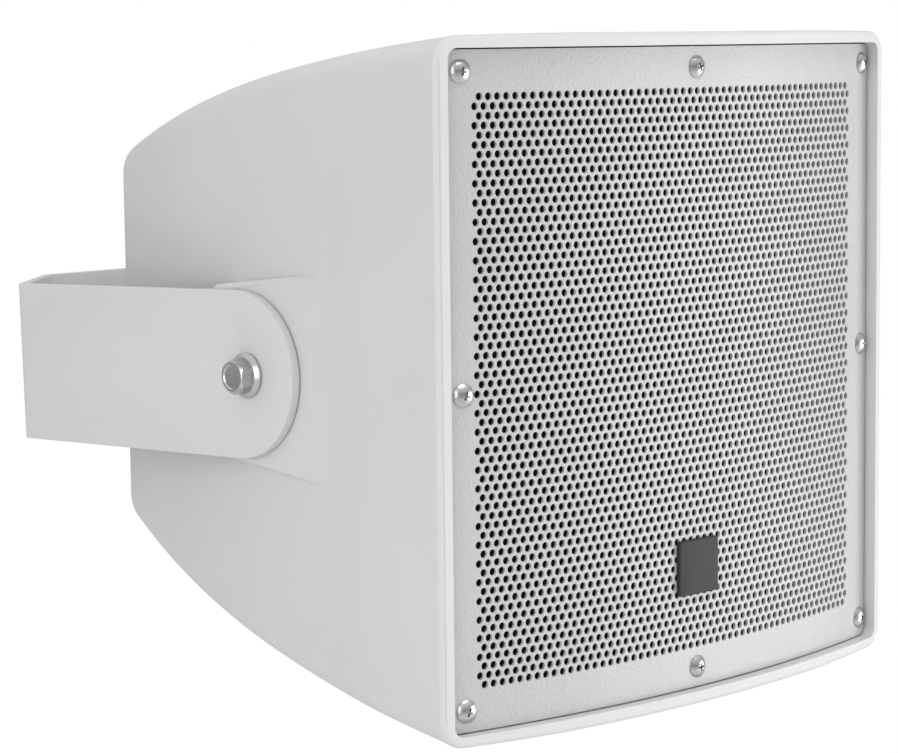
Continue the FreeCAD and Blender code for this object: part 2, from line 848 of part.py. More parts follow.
def pivot_spacers():
    made = []
    for side in (-1, 1):
        near, far = side * pad_face, side * (arm_inner - face_clearance)
        body = rod_x(spacer_radius, near, far, pivot_depth, pivot_height)
        bore = rod_x(bolt_radius, near - side, far + side, pivot_depth, pivot_height)
        made.append(body.cut(bore))
    return Part.makeCompound(made)


def pivot_bolts():
    """Flange bolts: shank, flange and a crowned hexagon."""
    made = []
    across_corners = bolt_flat / math.cos(math.radians(30))
    for side in (-1, 1):
        seat = arm_outer + face_clearance
        crown_start = seat + bolt_flange + bolt_head
        axis = Vector(side, 0, 0)

        def at(x):
            return Vector(side * x, pivot_depth, pivot_height)

        body = rod_x(bolt_radius, side * (seat - bolt_length), side * seat, pivot_depth, pivot_height)
        body = body.fuse(Part.makeCone(bolt_flange_radius, 0.8 * bolt_flange_radius, bolt_flange,
                                       at(seat), axis))
        head = hexagon(at(seat + bolt_flange / 2), axis, across_corners,
                       bolt_flange / 2 + bolt_head)
        crown = Part.makeCone(0.5 * across_corners + bolt_head / 2, 0.5 * bolt_flat - past,
                              bolt_head, at(crown_start - bolt_head), axis)
        made.append(body.fuse(head.common(crown)).removeSplitter())
    return Part.makeCompound(made)


def rear_panel():
    panel = plate_xz(panel_width / 2 - grille_gap / 2, panel_height / 2 - grille_gap / 2,
                     panel_corner, panel_inner, panel_outer, 0, -panel_drop)
    panel = panel.cut(rod_y(gland_thread, 0, reach, gland_offset, fitting_z))
    panel = panel.cut(rod_y(bushing_radius, 0, reach, -gland_offset, fitting_z))
    for x, z in panel_screw_places():
        panel = panel.cut(rod_y(small_screw_radius, 0, reach, x, z))
    return panel


def rear_panel_gasket():
    half_x, half_z = panel_width / 2, panel_height / 2
    gasket = plate_xz(half_x - grille_gap / 2, half_z - grille_gap / 2, panel_corner,
                      seat_depth, panel_inner, 0, -panel_drop)
    inner_x, inner_z = half_x - panel_margin, half_z - panel_margin
    gasket = gasket.cut(box(-inner_x, inner_x, 0, reach,
                            -panel_drop - inner_z, -panel_drop + inner_z))
    for x, z in panel_screw_places():
        gasket = gasket.cut(rod_y(small_screw_radius, 0, reach, x, z))
    return gasket


def rear_panel_screws():
    length = panel_thickness + panel_gasket + panel_frame_thickness - past
    return screws(panel_screw_places(), panel_outer, small_screw_radius, small_head_radius,
                  small_head, length, along=-1)


def gland_body():
    """Hexagon and thread of the cable gland, hollow for the cable."""
    across = gland_flat / math.cos(math.radians(30))
    start = Vector(gland_offset, panel_outer, fitting_z)
    body = hexagon(start, Vector(0, 1, 0), across, gland_hex)
    body = body.fuse(rod_y(gland_thread, panel_inner - 2 * locknut_thickness, panel_outer + past,
                           gland_offset, fitting_z))
    body = body.fuse(rod_y(gland_thread - gland_wall, panel_outer, panel_outer + gland_hex + gland_cap / 2,
                           gland_offset, fitting_z))
    return body.cut(rod_y(gland_bore + gland_seal_wall, 0, reach, gland_offset, fitting_z))


def gland_cap_nut():
    """Domed cap nut that closes the gland on its seal."""
    near = panel_outer + gland_hex
    far = near + gland_cap
    outer = gland_flat / 2
    bore, mouth = gland_thread - gland_wall, gland_bore + gland_wall
    roof = far - gland_seal_wall
    profile = [(bore, near), (outer, near), (outer, far - gland_cap_round),
               (outer - gland_cap_slope, far), (mouth, far), (mouth, roof), (bore, roof)]
    return turned(outline(profile), gland_offset, fitting_z)


def gland_seal():
    near = panel_outer + gland_hex + gland_cap / 2
    far = panel_outer + gland_hex + gland_cap - gland_seal_wall
    return ring_y(gland_thread - gland_wall, gland_bore, near, far, gland_offset, fitting_z)


def gland_locknut():
    across = gland_flat / math.cos(math.radians(30)) - gland_wall
    start = Vector(gland_offset, panel_inner - locknut_thickness, fitting_z)
    nut = hexagon(start, Vector(0, 1, 0), across, locknut_thickness)
    return nut.cut(rod_y(gland_thread, 0, reach, gland_offset, fitting_z))


def selector_switch():
    """Rotary switch behind the panel, with its bushing and spindle hole."""
    body = rod_y(switch_radius, panel_inner - switch_depth, panel_inner, -gland_offset, fitting_z)
    body = body.fuse(rod_y(bushing_radius, panel_inner - past, panel_outer + bushing_proud,
                           -gland_offset, fitting_z))
    hole = spindle_radius + pivot_clearance
    return body.cut(rod_y(hole, panel_inner - switch_depth / 2, reach, -gland_offset, fitting_z))


def selector_knob():
    """Round knob with a pointer ridge; its spindle turns in the switch."""
    near = panel_outer + bushing_proud + face_clearance
    far = near + knob_height
    x = -gland_offset
    knob = Part.makeCone(knob_radius, knob_taper * knob_radius, knob_height, Vector(x, near, fitting_z),
                         Vector(0, 1, 0))
    half = knob_ridge_length * knob_radius
    ridge = box(x - knob_ridge / 2, x + knob_ridge / 2, far - past, far + knob_ridge_proud,
                fitting_z - half, fitting_z + half)
    spindle = rod_y(spindle_radius, near - spindle_proud, near + past, x, fitting_z)
    return knob.fuse(ridge).fuse(spindle).removeSplitter()


def crossover_board():
    board = box(board_x - board_width / 2, board_x + board_width / 2,
                board_back - board_thickness, board_back,
                board_z - board_height / 2, board_z + board_height / 2)
    for x, z in board_places():
        board = board.cut(rod_y(small_screw_radius, 0, reach, x, z))
    return board


def crossover_coils():
    """Two air-core chokes: flanged bobbins standing on the board."""
    front = board_back - board_thickness
    made = []
    for offset in (-1, 1):
        x = board_x + offset * (bobbin_radius + part_spacing / 2)
        z = board_z - board_height / 2 + bobbin_radius + part_spacing
        top = front - bobbin_height
        wound = bobbin_radius - bobbin_flange
        profile = [(bobbin_bore, front), (bobbin_radius, front),
                   (bobbin_radius, front - bobbin_flange), (wound, front - bobbin_flange),
                   (wound, top + bobbin_flange), (bobbin_radius, top + bobbin_flange),
                   (bobbin_radius, top), (bobbin_bore, top)]
        made.append(turned(outline(profile), x, z))
    return Part.makeCompound(made)


def crossover_capacitors():
    """Film capacitors lying across the board."""
    front = board_back - board_thickness
    made = []
    for row in (0, 1):
        down = capacitor_radius + part_spacing + row * (2 * capacitor_radius + part_spacing)
        z = board_z + board_height / 2 - down
        x = board_x - capacitor_length / 2
        made.append(Part.makeCylinder(capacitor_radius, capacitor_length,
                                      Vector(x, front - capacitor_radius, z), Vector(1, 0, 0)))
    return Part.makeCompound(made)


def transformer_core():
    """Stack of E and I sheets with its two windows."""
    back = rear_inner - winding_proud
    front = back - core_stack
    core = box(core_x - core_width / 2, core_x + core_width / 2, front, back,
               core_z - core_height / 2, core_z + core_height / 2)
    window_x = winding_width / 2
    middle = leg_share * winding_width
    half_z = window_share * core_height
    for side in (-1, 1):
        near, far = sorted((core_x + side * middle, core_x + side * window_x))
        core = core.cut(box(near, far, front - past, back + past, core_z - half_z,
                            core_z + half_z))
    return core


def transformer_winding():
    """Coil round the core's middle leg."""
    back = rear_inner - winding_proud
    front = back - core_stack
    outer_x, inner_x = winding_width / 2, leg_share * winding_width
    half_z = window_share * core_height
    coil = plate_xz(outer_x, half_z, winding_round, front - winding_proud,
                    back + winding_proud - past, core_x, core_z)
    return coil.cut(box(core_x - inner_x, core_x + inner_x, front, back,
                        core_z - half_z - past, core_z + half_z + past))


def transformer_strap():
    """Pressed strap over the core, with a foot each side on the rear wall."""
    back = rear_inner
    front = rear_inner - 2 * winding_proud - core_stack
    t = strap_thickness
    half = core_width / 2
    foot = half + t + strap_foot
    outer = [(-foot, back), (-foot, back - t), (-half - t, back - t), (-half - t, front - t),
             (half + t, front - t), (half + t, back - t), (foot, back - t), (foot, back),
             (half, back), (half, front), (-half, front), (-half, back)]
    face = Part.Face(Part.Wire(outline([(core_x + x, y) for x, y in outer])))
    width = window_share * core_height
    strap = face.extrude(Vector(0, 0, width))
    strap.translate(Vector(0, 0, core_z - width / 2))
    for x, z in strap_places():
        strap = strap.cut(rod_y(small_screw_radius, back - t - past, back + past, x, z))
    return strap


def board_screws():
    return screws(board_places(), board_back - board_thickness, small_screw_radius,
                  small_head_radius, small_head, board_standoff / 2)


def transformer_screws():
    return screws(strap_places(), rear_inner - strap_thickness, small_screw_radius,
                  small_head_radius, small_head, strap_thickness + wall / 2)


def baffle_screws():
    return screws(baffle_screw_places(), baffle_front, screw_radius, screw_head_radius,
                  screw_head, baffle_thickness + seal_thickness + 1.5 * ledge_thickness)


def wall_bracket():
    """Flat steel strip folded into a U with two clipped corners. Drawn in the row frame."""
    leg = corner_leg
    t = strip_thickness
    skew = t * math.tan(math.radians(22.5))
    front = -bracket_reach - strip_width
    outer = [(-arm_outer, front), (-arm_outer, -t - leg + skew), (-arm_inner + leg - skew, 0)]
    inner = [(-arm_inner, front), (-arm_inner, -t - leg), (-arm_inner + leg, -t)]
    outer += [(-x, y) for x, y in reversed(outer)]
    inner += [(-x, y) for x, y in reversed(inner)]
    face = Part.Face(Part.Wire(outline(outer + inner[::-1])))
    strip = face.extrude(Vector(0, 0, strip_width))
    strip.translate(Vector(0, 0, -strip_width / 2))

    def bends(points):
        places = points[1:3] + points[3:5]
        return [e for e in strip.Edges if e.BoundBox.ZLength > strip_width / 2 and any(
            math.hypot(e.BoundBox.Center.x - x, e.BoundBox.Center.y - y) < 0.05
            for x, y in places)]

    strip = strip.makeFillet(bend_radius, bends(inner))
    strip = strip.makeFillet(bend_radius + t, bends(outer))
    end = -bracket_reach + arm_setback
    side_view = box(-reach, reach, end, past, -strip_width / 2, strip_width / 2)
    side_view = side_view.fuse(rod_x(strip_width / 2, -reach, reach, end, 0))
    strip = strip.common(side_view)
    strip = strip.cut(rod_x(bolt_radius + pivot_clearance, -reach, reach, -bracket_reach, 0))
    strip = strip.cut(rod_y(wall_hole_radius, -t - past, past))
    for x in (-wall_bolt_spacing_x / 2, wall_bolt_spacing_x / 2):
        for z in (-wall_bolt_spacing_z / 2, wall_bolt_spacing_z / 2):
            strip = strip.cut(rod_y(wall_bolt_radius, -t - past, past, x, z))
    return strip


def into_bracket(shape):
    """Turns a cabinet piece about the pivot and sets it between the bracket's arms."""
    shape.translate(Vector(0, -pivot_depth, -pivot_height))
    shape.rotate(Vector(0, 0, 0), Vector(1, 0, 0), cabinet_tilt)
    shape.translate(Vector(0, -bracket_reach, 0))
    return shape


cabinet_pieces = {
    "cabinet_shell": cabinet_shell,
    "front_grille": front_grille,
    "grille_foam": grille_foam,
    "grille_screws": grille_screws,
    "badge_plate": badge_plate,
    "baffle": baffle,
    "baffle_seal": baffle_seal,
    "baffle_screws": baffle_screws,
    "woofer_frame": woofer_frame,
    "woofer_front_gasket": woofer_front_gasket,
    "woofer_surround": woofer_surround,
    "woofer_cone": woofer_cone,
    "dust_cap": dust_cap,
    "coil_former": coil_former,
    "voice_coil": voice_coil,
    "woofer_spider": woofer_spider,
    "woofer_top_plate": top_plate,
    "woofer_magnet": magnet,
    "woofer_yoke": yoke,
    "woofer_screws": woofer_screw_set,
    "tweeter_bridge": tweeter_bridge,
    "tweeter_housing": tweeter_housing,
    "tweeter_flare": tweeter_flare,
    "tweeter_dome": tweeter_dome,
    "pivot_inserts": pivot_inserts,
    "pivot_spacers": pivot_spacers,
    "pivot_bolts": pivot_bolts,
    "rear_panel": rear_panel,
    "rear_panel_gasket": rear_panel_gasket,
    "rear_panel_screws": rear_panel_screws,
    "gland_body": gland_body,
    "gland_cap_nut": gland_cap_nut,
    "gland_seal": gland_seal,
    "gland_locknut": gland_locknut,
    "selector_switch": selector_switch,
    "selector_knob": selector_knob,
    "crossover_board": crossover_board,
    "crossover_coils": crossover_coils,
    "crossover_capacitors": crossover_capacitors,
    "crossover_screws": board_screws,
    "transformer_core": transformer_core,
    "transformer_winding": transformer_winding,
    "transformer_strap": transformer_strap,
    "transformer_screws": transformer_screws,
}

os.makedirs("parts", exist_ok=True)
wall_bracket().exportStep("parts/wall_bracket.step")
for node, make in cabinet_pieces.items():
    into_bracket(make()).exportStep("parts/" + node + ".step")
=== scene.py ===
import json
import math

import bmesh
import bpy
from mathutils import Euler, Matrix, Vector


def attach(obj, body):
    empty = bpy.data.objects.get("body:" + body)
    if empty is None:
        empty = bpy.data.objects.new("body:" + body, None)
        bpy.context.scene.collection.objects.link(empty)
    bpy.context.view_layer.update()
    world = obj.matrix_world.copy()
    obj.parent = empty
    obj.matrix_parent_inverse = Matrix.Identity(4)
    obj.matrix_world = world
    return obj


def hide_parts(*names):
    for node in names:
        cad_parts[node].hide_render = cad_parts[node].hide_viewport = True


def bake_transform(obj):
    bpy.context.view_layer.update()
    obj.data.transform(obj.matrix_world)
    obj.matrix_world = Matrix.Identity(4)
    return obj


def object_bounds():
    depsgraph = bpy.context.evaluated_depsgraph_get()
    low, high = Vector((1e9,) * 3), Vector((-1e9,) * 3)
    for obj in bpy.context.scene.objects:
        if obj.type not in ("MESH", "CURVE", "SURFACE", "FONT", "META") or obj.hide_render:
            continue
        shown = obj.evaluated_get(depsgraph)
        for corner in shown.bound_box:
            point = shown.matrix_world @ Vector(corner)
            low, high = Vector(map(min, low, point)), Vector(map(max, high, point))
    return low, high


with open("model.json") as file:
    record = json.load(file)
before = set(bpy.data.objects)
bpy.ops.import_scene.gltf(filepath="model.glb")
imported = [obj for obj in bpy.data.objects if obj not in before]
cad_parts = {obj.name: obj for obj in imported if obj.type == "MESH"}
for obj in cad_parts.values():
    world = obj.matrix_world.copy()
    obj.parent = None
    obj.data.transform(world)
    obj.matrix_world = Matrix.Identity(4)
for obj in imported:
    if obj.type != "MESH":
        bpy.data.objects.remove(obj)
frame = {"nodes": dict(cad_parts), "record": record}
cad_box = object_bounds()

# Square loudspeaker on a tilting U-bracket. Metres, in the frame of the solids: the origin is
# the centre of the bracket's wall face, +Y goes into the wall and +Z is up.
# Cabinet pieces are drawn in the cabinet's own frame: origin at the front centre of the
# grille, +Y to the rear. Then they are turned and set into the bracket.

MM = 0.001
WELD = 0.00001          # points closer than this are one
SETTLE = 12             # steps to find where two arcs meet
ACROSS = Matrix.Rotation(math.pi / 2, 4, "X")      # turns the upright axis onto the depth axis

# Cabinet
front_half = 162.4 * MM
front_radius = 704.0 * MM
cabinet_depth = 326.0 * MM
lead = math.sin(math.radians(5.1))
front_flank_radius = 1830.0 * MM
front_flank_depth = 150.0 * MM
rear_flank_radius = 1060.0 * MM
rear_round = 25.0 * MM
edge_round = 12.4 * MM
back_rise = 0.015
rim_proud = 5.95 * MM
rim_round = 2.4 * MM
rim_lip = 0.8 * MM
front_shift = 2.5 * MM            # the rim's front stands off the hole field's centre
curve_fade = 70.0 * MM            # depth over which the front's curve and shift fade
wall = 4.0 * MM
opening_x = 154.75 * MM
opening_z = 156.0 * MM
opening_corner = 5.0 * MM
opening_depth = 34.0 * MM
recess_corner = 9.0 * MM
recess_depth = 43.0 * MM
ledge_width = 16.0 * MM
ledge_back = 51.0 * MM
cabinet_cuts = 30
rear_cuts = 12
width_cuts = 20
hollow_cuts = 20
hollow_rear_cuts = 8
front_zone = 30.0 * MM
front_clear = 40.0 * MM

# Pads and pivot
pivot = Vector((0.0, 147.3 * MM, 0.6 * MM))
tilt = math.radians(2.0)
pad_face = 150.9 * MM
pad_front = 88.0 * MM
pad_rear = 183.0 * MM
pad_front_half = 52.4 * MM
pad_rear_half = 41.3 * MM
pad_corner = 6.0 * MM
pad_soft = 3.0 * MM
insert_radius = 8.0 * MM
insert_length = 24.0 * MM

# Bracket
reach = 244.5 * MM
strip_half = 40.8 * MM
strip_thickness = 5.0 * MM
arm_inner = 151.7 * MM
arm_setback = 8.3 * MM
corner_leg = 57.3 * MM
bend_middle = 4.5 * MM
bend_steps = 6
bolt_hole = 5.06 * MM
wall_hole = 5.25 * MM
wall_bolt_hole = 3.25 * MM
wall_bolt_x = 60.0 * MM
wall_bolt_z = 20.0 * MM
strip_soft = 0.4 * MM

# Grille
sheet_thickness = 1.4 * MM
sheet_half_arc = 155.0 * MM
sheet_half_z = 155.3 * MM
sheet_corner = 4.0 * MM
hole_pitch = 5.0 * MM
row_pitch = hole_pitch * math.sqrt(3) / 2
hole_radius = 1.86 * MM
hole_sides = 10
rows = 63
short_row = 54
screw_arcs = (-142.6 * MM, 2.2 * MM, 151.0 * MM)      # as the photo has them
screw_z = 145.5 * MM
screw_hole = 2.5 * MM

# Badge plate
badge_half = Vector((14.25 * MM, 0.0, 13.5 * MM))
badge_centre = Vector((1.3 * MM, 0.0, -95.6 * MM))
badge_proud = 2.0 * MM
badge_corner = 2.0 * MM

# Fasteners
screw_head_radius = 5.5 * MM
screw_head = 2.7 * MM
screw_edge = 0.4 * MM
screw_length = 17.0 * MM
small_screw_length = 9.0 * MM
bolt_flat = 15.0 * MM
bolt_head = 8.0 * MM
bolt_flange_radius = 11.0 * MM
bolt_flange = 2.0 * MM
bolt_seat = 156.8 * MM
bolt_length = 26.0 * MM
bolt_shank = 4.95 * MM

# Rear panel and fittings
panel_half = Vector((64.5 * MM, 0.0, 25.5 * MM))
panel_centre = Vector((0.0, 0.0, -52.0 * MM))
panel_corner = 4.0 * MM
panel_thickness = 3.0 * MM
pocket_depth = 4.5 * MM
pocket_gap = 0.5 * MM
pocket_frame = Vector((5.0 * MM, 6.0 * MM, 3.0 * MM))
service_depth = 15.0 * MM
service_half = Vector((58.0 * MM, 0.0, 19.0 * MM))
panel_screw = Vector((61.5 * MM, 0.0, 22.5 * MM))
small_head_radius = 2.6 * MM
small_head = 2.0 * MM
small_shank = 1.5 * MM
fitting_x = 35.0 * MM
fitting_z = -59.5 * MM
gland_thread = 8.0 * MM
gland_flat = 20.0 * MM
gland_hex = 5.0 * MM
gland_cap = 18.0 * MM
gland_core = 5.5 * MM
gland_mouth = 4.5 * MM
knob_radius = 11.0 * MM
knob_height = 13.0 * MM
knob_near = 1.1 * MM
knob_flutes = 18
spindle_radius = 2.95 * MM
spindle_length = 9.0 * MM

# Soft parts of the woofer
roll_steps = 36
roll_middle = 86.0 * MM
roll_half = 6.0 * MM
roll_rise = 5.7 * MM
roll_foot = 26.0 * MM
roll_lip = 30.1 * MM
roll_skin = 0.8 * MM
roll_rib = 0.15 * MM
roll_ribs = 8
roll_lip_inside = 77.0 * MM
roll_foot_outside = 95.5 * MM
flange_front = 30.0 * MM
disc_steps = 60
disc_waves = 5
disc_wave = 0.3 * MM
disc_skin = 0.6 * MM
disc_inner = 20.1 * MM
disc_outer = 44.0 * MM
disc_front = 66.8 * MM
disc_back = 68.3 * MM
soft_turns = 96

CABINET = (
    Matrix.Translation((0.0, -reach, 0.0))
    @ Matrix.Rotation(tilt, 4, "X")
    @ Matrix.Translation(-pivot)
)

# Camera, in the cabinet's frame
camera_place = Vector((-1.0356, -0.8999, 0.1590))
camera_turn = Euler((math.radians(83.3025), math.radians(0.6483), math.radians(-44.1455)))
camera_lens = 114.48
sensor_width = 36.0
view_reach = 50.0


def arc_level(depth, start, level, slope, radius):
    """Half size on an arc that leaves a depth at a level and a slope."""
    sine = slope + (depth - start) / radius
    return level - radius * (math.sqrt(1 - slope ** 2) - math.sqrt(1 - sine ** 2))


bend_level = arc_level(front_flank_depth, 0.0, front_half, lead, front_flank_radius)
bend_slope = lead + front_flank_depth / front_flank_radius


def bare_flank(y):
    """Half size of the cabinet at a depth: a slow arc and then a tighter one."""
    if y <= front_flank_depth:
        return arc_level(y, 0.0, front_half, lead, front_flank_radius)
    return arc_level(y, front_flank_depth, bend_level, bend_slope, rear_flank_radius)


def rear_corner():
    """Centre depth of the rear rounding, where it leaves the flank, and its half size."""
    centre = cabinet_depth - rear_round
    touch = centre
    for _ in range(SETTLE):
        touch = centre + rear_round * (bend_slope + (touch - front_flank_depth) / rear_flank_radius)
    return centre, touch, bare_flank(touch) - math.sqrt(rear_round ** 2 - (touch - centre) ** 2)


rear_centre, rear_touch, rear_level = rear_corner()


def flank(y, inset=0.0):
    """Half size at a depth with the rear rounding, outside or a wall's thickness in."""
    radius = rear_round - inset
    if y <= rear_centre + (rear_touch - rear_centre) * radius / rear_round:
        return bare_flank(y) - inset
    return rear_level + math.sqrt(max(0.0, radius ** 2 - (y - rear_centre) ** 2))


def squeezed(value, y):
    """Moves a point of the square section in as the flanks narrow, and keeps its corners round."""
    flat = front_half - edge_round
    narrow = flank(max(y, 0.0)) - edge_round
    if abs(value) <= flat:
        return value * narrow / flat
    return math.copysign(narrow + abs(value) - flat, value)


def front_curve(x):
    """Depth of the rim's curved front at a distance from the centre."""
    radius = front_radius + rim_proud
    return front_radius - math.sqrt(radius ** 2 - x ** 2)


def facing(direction):
    """Turns the depth axis onto a direction."""
    return Vector((0, 1, 0)).rotation_difference(Vector(direction)).to_matrix().to_4x4()


def on_front(arc, z):
    """Place on the curved grille, with the depth axis turned square to it."""
    angle = arc / front_radius
    point = (front_radius * math.sin(angle), front_radius * (1 - math.cos(angle)), z)
    return Matrix.Translation(point) @ facing((-math.sin(angle), math.cos(angle), 0))


def block(bm, low, high):
    """A box between two corners."""
    made = bmesh.ops.create_cube(bm, size=1)["verts"]
    low, high = Vector(low), Vector(high)
    size = high - low
    bmesh.ops.scale(bm, vec=size, verts=made)
    bmesh.ops.translate(bm, vec=(low + high) / 2, verts=made)
    return made


def rod(bm, radius, start, end, steps=48):
    """A round bar between two points."""
    start, end = Vector(start), Vector(end)
    along = (end - start).normalized()
    turn = Vector((0, 0, 1)).rotation_difference(along).to_matrix().to_4x4()
    bmesh.ops.create_cone(
        bm, cap_ends=True, segments=steps, radius1=radius, radius2=radius,
        depth=(end - start).length, matrix=Matrix.Translation((start + end) / 2) @ turn)


def turned(points, steps=48):
    """Turns a profile of (radius, depth) points about the depth axis."""
    bm = bmesh.new()
    verts = [bm.verts.new((radius, depth, 0)) for radius, depth in points]
    edges = [bm.edges.new(pair) for pair in zip(verts, verts[1:])]
    bmesh.ops.spin(
        bm, geom=verts + edges, cent=(0, 0, 0), axis=(0, 1, 0), angle=2 * math.pi,
        steps=steps, use_merge=True)
    bmesh.ops.remove_doubles(bm, verts=bm.verts, dist=WELD)
    bmesh.ops.recalc_face_normals(bm, faces=bm.faces)
    return bm


def arc_points(centre, radius, start, end, steps):
    """Points of a round stretch of a profile, angles in degrees."""
    points = []
    for i in range(steps + 1):
        angle = math.radians(start + (end - start) * i / steps)
        points.append((centre[0] + radius * math.cos(angle), centre[1] + radius * math.sin(angle)))
    return points


def round_off(bm, geom, width, steps, affect="EDGES"):
    """Rounds edges or corners."""
    bmesh.ops.bevel(
        bm, geom=geom, offset=width, segments=steps, profile=0.5, affect=affect, material=-1)


def rounded_plate(half, corner, near, far, centre=Vector((0, 0, 0)), soften=0.0, steps=6):
    """A plate across the depth axis with round corners and, if asked, a soft front edge."""
    bm = bmesh.new()
    block(bm, (centre.x - half.x, near, centre.z - half.z),
          (centre.x + half.x, far, centre.z + half.z))
    upright = [e for e in bm.edges if abs(e.verts[0].co.y - e.verts[1].co.y) > WELD]
    round_off(bm, upright, corner, steps)
    if soften:
        front = [e for e in bm.edges if all(abs(v.co.y - near) < WELD for v in e.verts)]
        round_off(bm, front, soften, 3)
    return bm


def mesh_of(bm, name="part"):
    """Turns finished edit data into a mesh."""
    mesh = bpy.data.meshes.new(name)
    bm.to_mesh(mesh)
    bm.free()
    return mesh


def combined(first, second, how):
    """Joins or cuts two closed meshes."""
    a = bpy.data.objects.new("first", first)
    b = bpy.data.objects.new("second", second)
    for o in (a, b):
        bpy.context.scene.collection.objects.link(o)
    step = a.modifiers.new("step", "BOOLEAN")
    step.operation = how
    step.solver = "EXACT"
    step.object = b
    bpy.context.view_layer.update()
    mesh = bpy.data.meshes.new_from_object(a.evaluated_get(bpy.context.evaluated_depsgraph_get()))
    for o in (a, b):
        bpy.data.objects.remove(o)
    return mesh


def many(mesh, places):
    """One mesh repeated at several places."""
    bm = bmesh.new()
    for place in places:
        begin = len(bm.verts)
        bm.from_mesh(mesh)
        bm.verts.ensure_lookup_table()
        bmesh.ops.transform(bm, matrix=place, verts=bm.verts[begin:])
    return mesh_of(bm)


def piece(name, mesh, body, slot_name, nodes=(), place=CABINET, sharp=35):
    """Puts a finished mesh into the scene as a piece of the object."""
    mesh.name = name
    mesh.transform(place)
    mesh.materials.clear()
    mesh.materials.append(finishes[slot_name])
    for polygon in mesh.polygons:
        polygon.use_smooth = True
    mesh.set_sharp_from_angle(angle=math.radians(sharp))
    made = bpy.data.objects.new(name, mesh)
    bpy.context.scene.collection.objects.link(made)
    if body:
        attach(made, body)
    if nodes:
        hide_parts(*nodes)
    return made


def soft_edges(made, width, segments=2, angle=35):
    """Rounds a piece's sharp edges and evens its shading."""
    bevel = made.modifiers.new("soft edges", "BEVEL")
    bevel.width = width
    bevel.segments = segments
    bevel.limit_method = "ANGLE"
    bevel.angle_limit = math.radians(angle)
    bevel.use_clamp_overlap = True
    even = made.modifiers.new("even shading", "WEIGHTED_NORMAL")
    even.keep_sharp = True
    return made


# Surface effects shared by several finishes

def effect(name, inputs, outputs):
    """An empty shader group with its sockets."""
    group = bpy.data.node_groups.new(name, "ShaderNodeTree")
    for label, kind, value in inputs:
        socket = group.interface.new_socket(name=label, in_out="INPUT", socket_type=kind)
        if value is not None:
            socket.default_value = value
    for label, kind in outputs:
        group.interface.new_socket(name=label, in_out="OUTPUT", socket_type=kind)
    return group, group.nodes.new("NodeGroupInput"), group.nodes.new("NodeGroupOutput")


def math_node(tree, operation, first, second):
    node = tree.nodes.new("ShaderNodeMath")
    node.operation = operation
    for socket, value in zip(node.inputs, (first, second)):
        if isinstance(value, (int, float)):
            socket.default_value = value
        else:
            tree.links.new(value, socket)
    return node.outputs[0]


def noise(tree, vector, scale, detail=3.0, rough=0.5):
    node = tree.nodes.new("ShaderNodeTexNoise")
    tree.links.new(vector, node.inputs["Vector"])
    if isinstance(scale, (int, float)):
        node.inputs["Scale"].default_value = scale
    else:
        tree.links.new(scale, node.inputs["Scale"])
    node.inputs["Detail"].default_value = detail
    node.inputs["Roughness"].default_value = rough
    return node.outputs["Fac"]


def ramp(tree, value, low, high, from_value=0.0, to_value=1.0):
    node = tree.nodes.new("ShaderNodeMapRange")
    node.clamp = True
    tree.links.new(value, node.inputs["Value"])
    for label, number in (("From Min", low), ("From Max", high),
                          ("To Min", from_value), ("To Max", to_value)):
        node.inputs[label].default_value = number
    return node.outputs["Result"]


def peel_effect():
    """Orange peel of a baked coat, or the fine spark grain of a mould: soft bumps of one size."""
    group, entry, leave = effect(
        "coat grain",
        [("Vector", "NodeSocketVector", None), ("Bumps", "NodeSocketFloat", 700.0)],
        [("Height", "NodeSocketFloat"), ("Tone", "NodeSocketFloat")])
    fine = noise(group, entry.outputs["Vector"], entry.outputs["Bumps"], 1.5, 0.4)
    third = math_node(group, "MULTIPLY", entry.outputs["Bumps"], 0.31)
    broad = noise(group, entry.outputs["Vector"], third, 2.0, 0.5)
    both = math_node(group, "ADD", fine, math_node(group, "MULTIPLY", broad, 0.6))
    group.links.new(both, leave.inputs["Height"])
    cloud = noise(group, entry.outputs["Vector"], 9.0, 4.0, 0.6)
    group.links.new(ramp(group, cloud, 0.3, 0.7), leave.inputs["Tone"])
    return group


def handling_effect():
    """Fine scuffs and the dull film that handling leaves."""
    group, entry, leave = effect(
        "handling",
        [("Vector", "NodeSocketVector", None), ("Amount", "NodeSocketFloat", 0.5)],
        [("Scuffs", "NodeSocketFloat"), ("Film", "NodeSocketFloat")])
    stretch = group.nodes.new("ShaderNodeMapping")
    stretch.inputs["Scale"].default_value = (30.0, 260.0, 900.0)
    stretch.inputs["Rotation"].default_value = (0.3, 0.2, 0.5)
    group.links.new(entry.outputs["Vector"], stretch.inputs["Vector"])
    lines = noise(group, stretch.outputs["Vector"], 1.0, 2.0, 0.5)
    patch = noise(group, entry.outputs["Vector"], 14.0, 3.0, 0.6)
    scuffs = math_node(
        group, "MULTIPLY", ramp(group, lines, 0.66, 0.74), ramp(group, patch, 0.5, 0.7))
    group.links.new(math_node(group, "MULTIPLY", scuffs, entry.outputs["Amount"]),
                    leave.inputs["Scuffs"])
    film = noise(group, entry.outputs["Vector"], 22.0, 5.0, 0.65)
    group.links.new(math_node(group, "MULTIPLY", ramp(group, film, 0.35, 0.75),
                              entry.outputs["Amount"]), leave.inputs["Film"])
    return group


coat_grain = peel_effect()
handling = handling_effect()
coat_film = 0.12        # how far a film of dust dulls paint, and metal
metal_film = 0.25
coat_polish = 0.15      # how far scuffs polish paint


